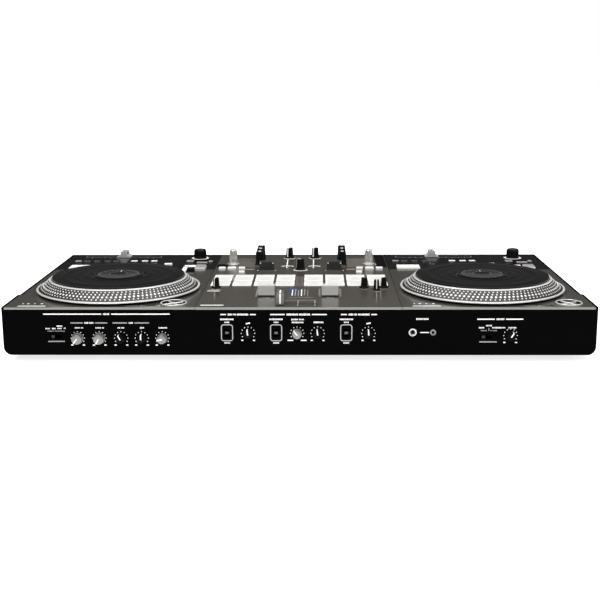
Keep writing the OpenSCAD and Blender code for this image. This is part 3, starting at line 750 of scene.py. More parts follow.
def strobe_dot(bm, spin, mid, along, normal, r, n=12):
    """Low polished dome on the platter's wall."""
    side = Vector((0, 1, 0))
    rings = []
    for scale, height in ((1.0, -0.15), (1.0, 0.1), (0.86, 0.3), (0.5, 0.42)):
        ring = []
        for i in range(n):
            a = 2 * math.pi * i / n
            p = mid + (along * math.cos(a) + side * math.sin(a)) * r * scale + normal * height
            ring.append(tuple(spin @ p))
        rings.append(ring)
    skin(bm, rings, 2)


def build_record(side):
    """Control record with a raised edge, a shallow ring round its opening and two track gaps."""
    node = "record_" + side
    lo, hi = node_box(node)
    at = DECKS[side]
    r0, r1 = LABEL_R, (hi.x - lo.x) / 2
    z0, z1 = lo.z, hi.z
    grooved = z1 - 0.05
    top = [(r0 + 0.4, grooved), (r0 + 3.2, grooved), (r0 + 3.6, z1 - 0.18), (r0 + 6.4, z1 - 0.18),
           (r0 + 6.8, grooved)]
    for r in (r0 + 21, r0 + 38):
        top += [(r, grooved), (r + 0.2, z1 - 0.08), (r + 0.7, z1 - 0.08), (r + 0.9, grooved)]
    edge = [(r1 - 3.2, grooved), (r1 - 2.6, z1), (r1 - 0.8, z1), (r1 - 0.25, z1 - 0.2),
            (r1, z1 - 0.6), (r1, z0 + 0.6), (r1 - 0.3, z0 + 0.1), (r1 - 0.9, z0)]
    bore = [(r0, z0 + 0.3), (r0, z1 - 0.35), (r0 + 0.1, z1 - 0.15)]
    bm = bmesh.new()
    lathe(bm, bore + top + edge + [(r0 + 0.5, z0)], 192, 0, closed=True)
    piece(bm, node + "_fine", [VINYL], node, at=(at.x, at.y, 0), replaces=[node],
          sharp=20)


def build_displays():
    """Round displays on fixed posts; both stand for the one CAD node."""
    lo, hi = node_box("jog_displays")
    r, z1 = hi.x - DECKS["right"].x, hi.z
    materials = [BEZEL, SCREEN, DIM, WHITE]
    for side in SIDES:
        at = DECKS[side]
        bm = bmesh.new()
        post = [(6, lo.z), (10, lo.z), (10, z1 - 1.3), (10.6, z1 - 0.9)]
        bezel = [(r - 0.5, z1 - 0.9), (r, z1 - 0.7), (r, z1 - 0.3), (r - 0.15, z1 - 0.1),
                 (r - 0.5, z1), (r - 1.9, z1), (r - 2.2, z1 - 0.12), (r - 2.4, z1 - 0.2)]
        lathe(bm, post + bezel + [(8, z1 - 0.7), (6, z1 - 0.9)], 128, 0, closed=True)
        lathe(bm, [(0, z1 - 0.6), (r - 2.6, z1 - 0.5), (r - 2.35, z1 - 0.15), (r - 2.5, z1 - 0.09),
                   (0, z1 - 0.08)], 128, 1)
        screen_marks(bm, r, z1 - 0.08, materials)
        piece(bm, "jog_display_" + side, materials, "chassis", at=(at.x, at.y, 0),
              replaces=["jog_displays"] if side == "left" else ())


def screen_marks(bm, r, z, materials):
    """Dim dial on the screen: a ring of short strokes and two thin rings."""
    dial = Ink((0, 0, z), (1, 0, 0), (0, 1, 0), materials, 0.03, bm)
    outer = r * 0.80
    dial.use(DIM)
    dial.arc(0, 0, outer, 0.35, 0, 360, 72)
    dial.arc(0, 0, r * 0.36, 0.3, 0, 360, 48)
    for i in range(60):
        a = 2 * math.pi * i / 60
        size = 2.6 if i % 5 == 0 else 1.4
        mid = outer - 1.2 - size / 2
        dial.bar(mid * math.cos(a), mid * math.sin(a), size, 0.35, math.degrees(a), 0.1)
    dial.use(WHITE)
    dial.bar(0, r * 0.58, 0.7, r * 0.3, 0, 0.2)


# ---- knobs ----

POINTER_SHIFT = {"phones_level_knob": 30}     # this cap sits further round on its shaft


def pointer_turn(node):
    """How far the pointer is turned from its middle place at rest, in degrees."""
    joint = joint_of(node)
    low, high = joint["range_deg"]
    return -(low + high) / 2 + POINTER_SHIFT.get(node, 0)


def strip_over(bm, profile, width, mat, sunk=0.1, proud=0.35):
    """A raised line over a turned shape, in the plane x = 0 towards +Y.
    profile runs from the middle of the top outwards and down."""
    n = len(profile)
    rings = []
    for i, (r, z) in enumerate(profile):
        ahead = profile[min(i + 1, n - 1)]
        back = profile[max(i - 1, 0)]
        along = Vector((ahead[0] - back[0], ahead[1] - back[1])).normalized()
        inward = Vector((along.y, -along.x))
        a, b = Vector((r, z)) + inward * sunk, Vector((r, z)) - inward * proud
        h = width / 2
        rings.append([(-h, a.x, a.y), (h, a.x, a.y), (h, b.x, b.y), (-h, b.x, b.y)])
    skin(bm, rings, mat)


def knob_mesh(skirt, base, top, h, skirt_h, ribs, cut, shaft, line):
    """Knob on the plane z = 0 with its pointer towards +Y.
    skirt, base and top are radii, shaft is a length and line the width of the pointer."""
    bm = bmesh.new()
    low = 0.6                               # gap under the skirt
    body = [(0, low), (skirt - 0.25, low), (skirt, low + 0.25), (skirt, skirt_h - 0.35),
            (skirt - 0.3, skirt_h), (base + 0.35, skirt_h + 0.1), (base, skirt_h + 0.6)]
    steps = 5
    for i in range(1, steps):
        t = i / steps
        body.append((base + (top - base) * t, skirt_h + 0.6 + (h - 0.9 - skirt_h - 0.6) * t))
    body += [(top, h - 0.9), (top - 0.12, h - 0.5), (top - 0.45, h - 0.22), (top - 0.75, h - 0.14),
             (0, h - 0.14)]
    lathe(bm, body, 16 * max(4, ribs // 3), 0, ribs=ribs, cut=cut, ribbed=(skirt_h + 0.5, h - 0.85))
    lathe(bm, [(0, h - 0.5), (top - 1.0, h - 0.5), (top - 0.95, h - 0.12), (top - 1.15, h - 0.02),
               (top * 0.5, h - 0.06), (0, h - 0.08)], 48, 1)
    foot = low - shaft
    lathe(bm, [(0, foot), (2.6, foot), (3, foot + 0.4), (3, low + 0.1), (0, low + 0.1)], 24, 3)
    rise = [(-top * 0.1, h - 0.04), (top - 1.3, h - 0.04), (top - 0.4, h - 0.2),
            (top - 0.03, h - 0.6), (top, h - 0.9)]
    rise += [(base + (top - base) * t, skirt_h + 0.8 + (h - 1.7 - skirt_h) * t)
             for t in (0.75, 0.5, 0.25, 0.0)]
    strip_over(bm, rise, line, 2)
    return bm


def standing_knob(node, base, top, line, ribs=18, cut=0.35, skirt_h=1.8):
    """Knob on the top plates, sized from its CAD node."""
    lo, hi = node_box(node)
    x, y, _ = axis_of(node)
    bm = knob_mesh((hi.x - lo.x) / 2, base, top, hi.z - PLATE_Z, skirt_h, ribs, cut,
                   PLATE_Z - lo.z + 0.6, line)
    turn = Matrix.Rotation(math.radians(pointer_turn(node)), 4, "Z")
    piece(bm, node + "_fine", [KNOB, KNOB_TOP, WHITE, SOCKET], node,
          at=(x, y, PLATE_Z), turn=turn, replaces=[node])


def build_top_knobs():
    for side in SIDES:
        for row in ("low", "mid", "high"):
            # the wide white pointer is partly the real pointer and partly a painted highlight on
            # the knob tops
            standing_knob(f"eq_{row}_{side}", 6.7, 5.9, 4.2)
    for node in ("booth_knob", "master_knob"):
        standing_knob(node, 6.1, 5.3, 1.9)
    standing_knob("cue_mix_knob", 6.4, 5.6, 1.5)
    for node in ("pad_level_knob", "phones_mix_knob", "phones_tone_knob"):
        standing_knob(node, 4.9, 4.0, 1.1, 15, 0.3, 1.6)
    standing_knob("phones_level_knob", 4.2, 3.5, 1.1, 15, 0.3, 1.6)


def build_encoders():
    for side in SIDES:
        build_browse(side)
        build_loop(side)


def build_browse(side):
    """Tall ribbed silver encoder on a wide washer."""
    node = "browse_knob_" + side
    lo, hi = node_box(node)
    c = centre(node)
    h, r = hi.z - PLATE_Z, (hi.x - lo.x) / 2
    bm = bmesh.new()
    washer = [(0, 0.6), (r - 0.3, 0.6), (r, 0.8), (r - 0.1, 1.3), (r - 0.7, 1.8), (7.4, 2.2),
              (6.6, 2.6), (0, 2.6)]
    lathe(bm, washer, 72, 1)
    body = [(0, 2.4), (6.3, 2.4), (6.7, 2.9), (6.6, 3.6)]
    body += [(6.6 - 0.4 * t, 3.6 + (h - 10) * t) for t in (0.25, 0.5, 0.75, 1.0)]
    body += [(6.0, h - 5.4), (5.7, h - 4.0), (5.5, h - 2.4), (5.2, h - 1.2), (4.8, h - 0.5),
             (4.2, h - 0.1), (3.4, h), (3.0, h - 0.15), (0, h - 0.2)]
    lathe(bm, body, 144, 0, ribs=24, cut=0.55, ribbed=(3.0, h - 6.2))
    lathe(bm, [(0, STEM_FOOT), (3, STEM_FOOT), (3, 0.7), (0, 0.7)], 24, 2)
    piece(bm, node + "_fine", [BROWSE, SATIN, SOCKET], node, at=(c.x, c.y, PLATE_Z),
          replaces=[node])


def build_loop(side):
    """Black knurled dome, with a thin bright metal ring on its top that is a painted highlight."""
    node = "loop_knob_" + side
    lo, hi = node_box(node)
    c = centre(node)
    h, r = hi.z - PLATE_Z, (hi.x - lo.x) / 2
    body = [(0, 0.6), (r - 0.5, 0.6), (r, 1.0), (r, 2.0), (r - 0.3, 2.5), (r - 0.1, 3.0)]
    body += [(r - 0.1, h * t) for t in (0.35, 0.5, 0.65)]
    for i in range(7):
        a = math.radians(15 * i)
        body.append((r * (0.7 + 0.29 * math.cos(a)), h - 4 + 4 * math.sin(a)))
    body += [(r * 0.55, h - 0.1), (r * 0.4, h - 0.45), (0, h - 0.75)]
    bm = bmesh.new()
    lathe(bm, body, 160, 0, ribs=40, cut=0.45, ribbed=(2.9, h - 3.9))
    hollow = [(0, h - 1.2), (r * 0.36, h - 1.2), (r * 0.36, h - 0.42), (r * 0.33, h - 0.3),
              (0, h - 0.5)]
    lathe(bm, hollow, 48, 1)
    # painted highlight: a bright metal ring stands for the highlight arcs on the glossy top
    ring = [(r * 0.6, h - 0.5), (r * 0.66, h - 0.3), (r * 0.64, h), (r * 0.57, h)]
    lathe(bm, ring, 64, 2, closed=True)
    lathe(bm, [(0, STEM_FOOT), (3, STEM_FOOT), (3, 0.7), (0, 0.7)], 24, 2)
    piece(bm, node + "_fine", [KNOB, KNOB_TOP, SOCKET], node,
          at=(c.x, c.y, PLATE_Z), replaces=[node])


FRONT_KNOBS = ["mic1", "mic2", "mic_low", "mic_high", "echo", "curve1", "feel", "cross_curve",
               "curve2", "aux"]
SILVER_FRONT = {"mic1", "mic2", "echo", "feel"}


def build_front_knobs():
    """Small knobs on the front face, turned to stand out of it."""
    for name in FRONT_KNOBS:
        node = name + "_knob"
        lo, hi = node_box(node)
        r = (hi.x - lo.x) / 2
        x, _, z = axis_of(node)
        silver = name in SILVER_FRONT
        bm = knob_mesh(r, r - 0.3, r - 0.7, FRONT_Y - lo.y, 1.6, 12 if silver else 9, 0.5,
                       hi.y - FRONT_Y + 0.6, 1.6)
        turn = (Matrix.Rotation(math.pi / 2, 4, "X")
                @ Matrix.Rotation(math.radians(pointer_turn(node)), 4, "Z"))
        skin_of = GREY_METAL if silver else FRONT_BLACK
        piece(bm, node + "_fine", [skin_of, skin_of, WHITE, SOCKET], node,
              at=(x, FRONT_Y, z), turn=turn,
              replaces=[node])


# ---- keys, pads and caps ----

def build_pads():
    """Performance pads and the smaller mode pads behind them, white, with dark sides that are
    painted shade.
    """
    for side in SIDES:
        node = "pads_" + side
        bm = bmesh.new()
        for lo, hi in solids(node):
            w, d = hi.x - lo.x, hi.y - lo.y
            x, y = middle(lo, hi)
            mode = d < 20
            # wall=1: the dark key tint on the pad sides is painted shade round the pads
            cap(bm, x, y, lo.z, w, d, hi.z - lo.z, 1.4 if mode else 2.0, 0.5, 0.1 if mode else 0.2,
                wall=1)
            pad_ribs(bm, x, y, hi.z, w, d, 2 if mode else 6)
        piece(bm, node + "_fine", [PAD, KEY_DARK, PAD_RIB], node, replaces=[node])


def pad_ribs(bm, x, y, z, w, d, count):
    """Thin raised lines across the top of a pad."""
    for i in range(count):
        at = y - d / 2 + d * (i + 1) / (count + 1)
        outline = [(x + px, at + py) for px, py in rounded(w - 5, 0.9, 0.3, 2)]
        skin(bm, [[(px, py, z - t) for px, py in outline] for t in (0.3, 0.02)], 2)


KEY_TINTS = [KEY_WHITE, KEY_GREY, KEY_DARK, KNOB, KEY_ROSE]
# tints of the row of keys behind the platter, by how far they are from its middle
ROW_TINTS = {-105: 1, -91: 2, -75: 2, -58: 2, -44: 2, -15: 0, 2: 0, 17: 0}
ROW_Y = 115             # keys behind this belong to that row


def build_keys():
    bm = bmesh.new()
    for lo, hi in solids("mixer_buttons"):
        cap(bm, *middle(lo, hi), lo.z, *(hi - lo), 1.0, 0.6, 0.15)
    piece(bm, "mixer_buttons_fine", [KEY_WHITE], "mixer_buttons",
          replaces=["mixer_buttons"])
    bm = bmesh.new()
    for lo, hi in solids("deck_buttons"):
        x, y = middle(lo, hi)
        if hi.z > PLATE_Z + KEY_RISE:
            cap(bm, x, y, lo.z, *(hi - lo), 1.0, 1.4, 0.4, 3, wall=3)
        else:
            local = x - DECKS["left" if x < 0 else "right"].x
            tint, wall = key_tint(local, y, hi.x - lo.x)
            cap(bm, x, y, lo.z, *(hi - lo), 1.0, 0.5, 0.12, tint, wall=wall)
    piece(bm, "deck_buttons_fine", KEY_TINTS, "deck_buttons", replaces=["deck_buttons"])


def key_tint(local, y, width):
    """Tints of a key's top and sides: the row behind the platter, then the odd keys round it."""
    if y > ROW_Y and local < 30:
        return ROW_TINTS[min(ROW_TINTS, key=lambda k: abs(k - local))], 2
    if y > ROW_Y:
        return (4, 4) if width > 15 else (1, 2)
    if width > 14 and local > 0:
        return 1, 0
    return 0, 0


def build_start(side):
    """Raised silver ring round a dark well, with a bright four-armed cross."""
    node = "start_button_" + side
    lo, hi = node_box(node)
    c = centre(node)
    r, z = (hi.x - lo.x) / 2, PLATE_Z
    sleeve = r - 1
    bm = bmesh.new()
    ring = [(sleeve - 1.6, lo.z), (sleeve, lo.z), (sleeve, z + 1.3), (r - 0.2, z + 1.3),
            (r, z + 1.5), (r - 0.15, z + 2.05), (r - 0.5, z + 2.35), (r - 0.9, z + 2.4),
            (r - 1.3, z + 2.2), (r - 1.5, z + 1.7), (r - 1.6, z + 0.9), (sleeve - 1.6, z + 0.6)]
    lathe(bm, ring, 96, 0, closed=True)
    well = [(0, lo.z), (r - 2.7, lo.z), (r - 1.7, z + 1.5), (r - 3.0, z + 0.5), (r * 0.5, z + 0.4),
            (0, z + 0.5)]
    lathe(bm, well, 72, 1)
    arm = [(-1.0, z), (1.0, z), (0.9, z + 1.3), (0.4, z + 1.7), (-0.4, z + 1.7), (-0.9, z + 1.3)]
    for a in (35, 125):
        spin = Matrix.Rotation(math.radians(a), 3, "Z")
        place = lambda s, p, q, m=spin: tuple(m @ Vector((s, p, q)))
        solid_profile(bm, arm, 2 * r - 8, place, 2, 0.3)
    boss = [(0, z + 0.2), (2.7, z + 0.2), (2.6, z + 1.4), (2.0, z + 2.1), (0.8, z + 2.4),
            (0, z + 2.4)]
    lathe(bm, boss, 40, 2)
    piece(bm, node + "_fine", [CAST, FRONT_BLACK, CAST], node, at=(c.x, c.y, 0),
          replaces=[node])


def build_tempo(side):
    """Bright slider cap with dark flanks, a line along its top and a stem in the slot."""
    node = "tempo_cap_" + side
    lo, hi = node_box(node)
    c = centre(node)
    z0 = PLATE_Z + 0.8
    w, h, length = (hi.x - lo.x) / 2, hi.z - PLATE_Z - 0.8, hi.y - lo.y
    outline = [(-w, 0), (w, 0), (w, 0.8), (w * 0.94, 1.3), (w * 0.78, 1.9), (w * 0.6, 3.2),
               (w * 0.49, 4.8), (w * 0.44, 6.4), (w * 0.45, h - 1.6), (w * 0.41, h - 0.4),
               (w * 0.3, h), (w * 0.1, h - 0.1)]
    outline += [(-x, z) for x, z in reversed(outline[2:])]
    place = lambda s, p, q: (p, s, q + z0)
    bm = bmesh.new()
    solid_profile(bm, outline, length, place, 0, 0.3)
    for f in bm.faces:
        f.normal_update()
        if abs(f.normal.x) > 0.8 and f.calc_center_median().z > PLATE_Z + 4:
            f.material_index = 1
    solid_profile(bm, rect(0.5, h - 0.6, h), length - 1.2, place, 1, 0.08, 1)
    solid_profile(bm, rect(3, -9.8, 0.6), 1.6, place, 2, 0.1, 1)
    piece(bm, node + "_fine", [CHROME, KNOB, SOCKET], node, at=(c.x, c.y, 0),
          replaces=[node])


def build_faders():
    for node in ("channel_fader_left", "channel_fader_right", "crossfader"):
        build_fader(node, node == "crossfader")


def build_fader(node, sideways):
    """Slider cap with hollow flanks, a finger dip and a centre line, with a painted highlight on
    its top and painted shade at its foot.
    sideways is the crossfader, which slides along X; the others slide along Y."""
    lo, hi = node_box(node)
    c = centre(node)
    w, d = hi.x - lo.x, hi.y - lo.y
    length, half = (d, w / 2) if sideways else (w, d / 2)
    z0 = PLATE_Z + (0.8 if sideways else 0.6)
    h = hi.z - z0
    if sideways:
        right = [(half, 0), (half, 1.2), (half * 0.95, 2.2), (half * 0.92, h * 0.5),
                 (half * 0.92, h - 2.2), (half * 0.9, h - 1), (half * 0.76, h - 0.1),
                 (half * 0.35, h - 0.25), (half * 0.1, h - 0.6)]
    else:
        right = [(half * 0.9, 0), (half * 0.9, 1.4), (half * 0.87, 1.8), (half * 0.92, h * 0.5),
                 (half * 0.98, h - 2.2), (half, h - 1), (half * 0.88, h - 0.1),
                 (half * 0.4, h - 0.25), (half * 0.1, h - 0.6)]
    along_y = lambda s, p, q: (p, s, q + z0)
    place = along_y if sideways else (lambda s, p, q: (-s, p, q + z0))
    bm = bmesh.new()
    solid_profile(bm, right + [(-x, z) for x, z in reversed(right)], length, place, 0, 0.35)
    bm.normal_update()
    for f in bm.faces:
        z = f.calc_center_median().z
        # top faces take a lighter tint: a painted highlight
        if z > hi.z - 1.2 and f.normal.z > 0.5:
            f.material_index = 3
        # the lowest band takes the dark key tint, a dark foot that also stands for the shade under
        # the cap; the crossfader's upright flanks take it as painted shade
        elif z < z0 + 1.7 or (sideways and abs(f.normal.x) > 0.8):
            f.material_index = 4
    line = 1.0 if sideways else 0.55
    solid_profile(bm, rect(line, h - 1.2, h - 0.3), length - 0.6, place, 1, 0.1, 1)
    for s in (-1, 1):
        end = s * (length / 2 - 0.06)
        skin(bm, [[place(end + s * t, p, q) for p, q in rect(line, 1.6, h - 1.2)]
                  for t in (0, 0.1)], 1)
    stem, stem_length = (2.5, 1.6) if sideways else (0.8, 5.0)
    solid_profile(bm, rect(stem, -10.2, 0.6), stem_length, along_y, 2, 0.1, 1)
    body = CROSS if sideways else FADER
    piece(bm, node + "_fine", [body, WHITE, SOCKET, FADER_PAINTED_HIGHLIGHT, KEY_DARK], node,
          at=(c.x, c.y, 0), replaces=[node])


def rect(half, z0, z1):
    return [(-half, z0), (half, z0), (half, z1), (-half, z1)]


def build_levers():
    """Black paddles on a barrel, with a white dot at each end."""
    blade = [(-3, 0), (3, 0), (2.5, 5), (2.2, 9), (2.7, 13.4), (2.6, 15), (1.8, 15.9),
             (-1.3, 15.9), (-2.2, 15), (-2.4, 13.4), (-2.2, 9), (-2.5, 5)]
    for side in SIDES:
        node = "fx_lever_" + side
        lo, hi = node_box(node)
        _, axis_y, axis_z = axis_of(node)
        w = hi.x - lo.x
        place = lambda s, p, q: (s, p, q + axis_z)
        bm = bmesh.new()
        skin(bm, [[place(s * w / 2, p, q) for p, q in circle(3.6, 30)] for s in (-1, 1)])
        solid_profile(bm, blade, w, place, 0, 0.45)
        for s in (-1, 1):
            dot = circle(1.0, 12, s * (w / 2 - 1.7), axis_z + 12.6)
            skin(bm, [[(x, y, z) for x, z in dot] for y in (-2.52, -2.02)], 1)
        piece(bm, node + "_fine", [PADDLE, WHITE], node,
              at=(centre(node).x, axis_y, 0), replaces=[node])


def build_switches():
    """Slide buttons with three grip ridges: across the upright ones, along the others."""
    for node in ("reverse_switches", "select_switches"):
        bm = bmesh.new()
        upright = node == "reverse_switches"
        for lo, hi in solids(node):
            c = (lo + hi) / 2
            w, h = hi.x - lo.x, hi.z - lo.z
            outline = rounded(w, h, 0.5, 3)
            rings = [[(c.x + px, y, c.z + pz) for px, pz in outline] for y in (hi.y, lo.y + 0.25)]
            rings.append([(c.x + px * 0.93, lo.y, c.z + pz * 0.9) for px, pz in outline])
            skin(bm, rings)
            for k in (-1, 0, 1):
                if upright:
                    x, z, shape = c.x, c.z + k * 1.0, rounded(w * 0.8, 0.35, 0.1, 2)
                else:
                    x, z, shape = c.x + k * 1.2, c.z, rounded(0.4, h * 0.8, 0.1, 2)
                skin(bm, [level(x, z, shape, y) for y in (lo.y + 0.1, lo.y - 0.18)], 1)
        piece(bm, node + "_fine", [SWITCH, KEY_GREY if upright else KEY_DARK], node,
              replaces=[node])


def build_rocker():
    """Mains rocker on a barrel, with a white stroke on its lower half."""
    node = "power_switch"
    lo, hi = node_box(node)
    w = hi.x - lo.x
    _, axis_y, axis_z = axis_of(node)
    place = lambda s, p, q: (s, axis_y + p, axis_z + q)
    bm = bmesh.new()
    skin(bm, [[place(s * w / 2, p, q) for p, q in circle(3, 24)] for s in (-1, 1)])
    face = [(0, -9), (5, -9), (4.5, -5), (4.2, 0), (5.0, 5), (6.4, 9), (0, 9)]
    solid_profile(bm, face, w, place, 0, 0.35)
    stroke = rounded(0.8, 3.4, 0.2, 2)
    skin(bm, [level(0, axis_z - 5.5, stroke, axis_y + y) for y in (4.2, 4.75)], 1)
    piece(bm, node + "_fine", [STRIP, WHITE], node, at=(centre(node).x, 0, 0),
          replaces=[node])


# ---- print ----

def top_ink(inks):
    return Ink((0, 0, PLATE_Z), (1, 0, 0), (0, 1, 0), inks)


ROW_MARKS_X = {"left": -94.4, "right": -87.6}       # from the platter's middle
SLOT_MARK_X = {"left": 48, "right": 57.1}


def build_deck_print():
    for side, s in SIDES.items():
        x0 = DECKS[side].x
        page = top_ink([WHITE, DIM, DARK_PRINT_AND_SHADE])
        # tempo slot: a light frame with a scale in front of it
        y = centre("tempo_cap_" + side).y
        slot_x = x0 - 40
        page.use(DIM)
        page.box(slot_x, y, 124, 15, 0.7, 2)
        page.use(WHITE)
        for i in range(-5, 6):
            page.bar(slot_x + i * 10, y - 10.4, 0.5, 3.4 if i % 5 == 0 else 2.0)
        # label blocks behind the row of keys
        for lo, hi in solids("deck_buttons"):
            mid = (lo + hi) / 2
            if (mid.x < 0) == (s < 0) and hi.z < PLATE_Z + KEY_RISE and hi.x - lo.x < 15:
                page.words(mid.x, hi.y + 2.6, min(hi.x - lo.x, 9) * 0.8, 1.0, (2, 1))
        # small row of marks over a line, front left of the platter
        row_x = x0 + ROW_MARKS_X[side]
        page.bar(row_x, -190.6, 36.5, 3.6)
        for k, size in ((-15, 1.6), (-8, 2.6), (0.5, 1.6), (10, 3.2)):
            page.bar(row_x + k, -176.5, size, 4.2, r=0.8)
        # mark slot, front right of the platter
        mark_x = x0 + SLOT_MARK_X[side]
        page.use(DARK_PRINT_AND_SHADE)
        page.bar(mark_x, -186, 37, 4.2)
        page.bar(mark_x - 1.5, -186, 3, 7)
        page.bar(mark_x + 17.5, -186, 2.6, 8)
        page.use(DIM)
        page.bar(mark_x - 5, -190, 27, 2.2)
        page.use(WHITE)
        page.dot(mark_x + 0.6, -189.2, 1.9)
        # white surround of the toggle key, label of the start button, scale of the loop encoder
        key = next((lo + hi) / 2 for lo, hi in solids("deck_buttons")
                   if hi.z > PLATE_Z + KEY_RISE and (lo.x < 0) == (s < 0))
        page.bar(key.x - 12, key.y + 19, 7, 50, r=1)
        page.bar(key.x - 6.4, key.y + 43, 17.5, 17, r=1)
        page.use(DIM)
        page.bar(key.x + 1, key.y - 17, 9, 3)
        page.use(WHITE)
        start = centre("start_button_" + side)
        page.arc(start.x, start.y, 21.4, 0.5, 60, 120)
        loop = centre("loop_knob_" + side)
        page.arc(loop.x, loop.y, 12.4, 3.4, 0, 360, 64)
        page.words(loop.x, loop.y + 16.5, 12, 1.3, (3, 2))
        page.done("deck_print_" + side)


KNOB_SCALE = range(-150, 151, 30)       # ticks round a knob, in degrees
HATCH_X = 87.6                          # middle of a hatched panel, from the mixer's middle


def build_mixer_print():
    page = top_ink([WHITE, DIM, DARK_PRINT_AND_SHADE, RED, WINDOW, BLUE, BLUE_DEEP, METER, COPPER, BEIGE])
    mid_x = centre("cue_mix_knob").x
    for side, s in SIDES.items():
        # hatched grey panels between the equaliser and the encoders, dark ones outside them
        page.use(WINDOW)
        page.bar(mid_x + s * HATCH_X, 122.5, 30.5, 79, r=1)
        page.use(COPPER)
        for i in range(26):
            page.bar(mid_x + s * HATCH_X, 85 + i * 3, 29.5, 1.1)
        page.bar(mid_x + s * 80.3, 66.5, 18, 8)
        page.use(DARK_PRINT_AND_SHADE)
        if s > 0:
            page.bar(mid_x + 126.2, 136, 16, 108, r=1)
        else:
            page.bar(mid_x - 122.8, 96, 17, 28, r=1)
        page.use(WHITE)
        for row in ("low", "mid", "high"):
            k = centre(f"eq_{row}_{side}")
            page.ticks(k.x, k.y, 10.6, KNOB_SCALE, 0.4)
            page.words(k.x, k.y - 11.2, 8, 1.1, (2, 1))
        browse = centre("browse_knob_" + side)
        page.arc(browse.x, browse.y, 11.4, 0.6, 0, 360, 64)
        page.words(browse.x, browse.y + 15, 13, 1.3, (3, 2))
        for lo, hi in solids("mixer_buttons"):
            mid = (lo + hi) / 2
            if (mid.x < 0) == (s < 0):
                page.words(mid.x, hi.y + 2.4, (hi.x - lo.x) * 0.75, 1.1, (1, 2))
        lever = centre("fx_lever_" + side)
        for t in (-1, 1):
            page.bar(lever.x + t * 13.4, lever.y - 7, 1.6, 3, r=0.3)
        page.words(lever.x, lever.y + 12, 12, 1.3, (1, 1))
        # channel fader scale
        fader = centre("channel_fader_" + side)
        for i in range(11):
            long = i % 5 == 0
            for t in (-1, 1):
                page.bar(fader.x + t * 14.2, fader.y + i * 4.5, 3.6 if long else 2.2, 0.5)
        page.words(fader.x, fader.y - 12, 9, 1.4, (1, 1))
    for node in ("booth_knob", "master_knob"):
        k = centre(node)
        page.ticks(k.x, k.y, 10.2, KNOB_SCALE, 0.6)
        page.arc(k.x, k.y, 10.6, 2.6, 215, 325)
        page.bar(k.x - 2.5, k.y - 53, 1.5, 74)
        page.arc(k.x - 1, k.y - 80, 9, 3.4, 20, 160)
        page.bar(k.x - 1, k.y - 73, 17, 3)
    k = centre("cue_mix_knob")
    page.arc(k.x, k.y, 10.2, 0.7, -20, 200)
    page.arc(k.x, k.y, 10.4, 3.2, 200, 340)
    for node, w in (("pad_level_knob", 18), ("phones_mix_knob", 10), ("phones_level_knob", 9),
                    ("phones_tone_knob", 10)):
        k = centre(node)
        page.ticks(k.x, k.y, 9.3, range(-150, 151, 60), 0.4)
        page.words(k.x, k.y - 12.8, w * 0.6, 1.2, (1, 1))
    k = centre("pad_level_knob")
    page.bar(k.x - 1.4, k.y - 23, 17.5, 3.6)
    page.use(DIM)
    page.bar(k.x - 0.6, k.y - 15.5, 20, 2.2)
    page.use(WHITE)
    page.bar(k.x + 5.1, k.y - 113, 30, 4.2)
    # crossfader scale: a bracket behind the slot, with small coloured labels behind it
    page.use(BEIGE)
    page.bar(1.7, -155.5, 41, 1.7)
    for x in (-1, 21.4):
        page.bar(x, -165.7, 1.1, 20.4)
        page.bar(x, -184.6, 1.1, 8.2)
    page.use(COPPER)
    page.bar(2, -139, 34, 2.0)
    for i in range(9):
        page.bar(-26 + 6.5 * i, -63.6, 4.4, 1.4)
    for i, tint in enumerate((BLUE_DEEP, WHITE, BLUE, DIM, WHITE, DIM, WINDOW)):
        page.use(tint)
        page.bar(-14 + 4.2 * i, -110 + 3 * (i % 3), 1.5, 44 - 5 * (i % 2))
    page.use(BLUE_DEEP)
    page.bar(-13.4, -82, 5.6, 17)
    # grey strip between the two pad banks
    page.use(METER)
    page.bar(mid_x, -26, 11, 68, r=1)
    for i in range(8):
        page.use(RED if i > 6 else DIM)
        page.bar(mid_x, -54 + i * 7.5, 5, 2.2)
    page.done("mixer_print")


REVERSE_FRAME = (15.6, 22.4)        # width and height of the frame round a reverse switch


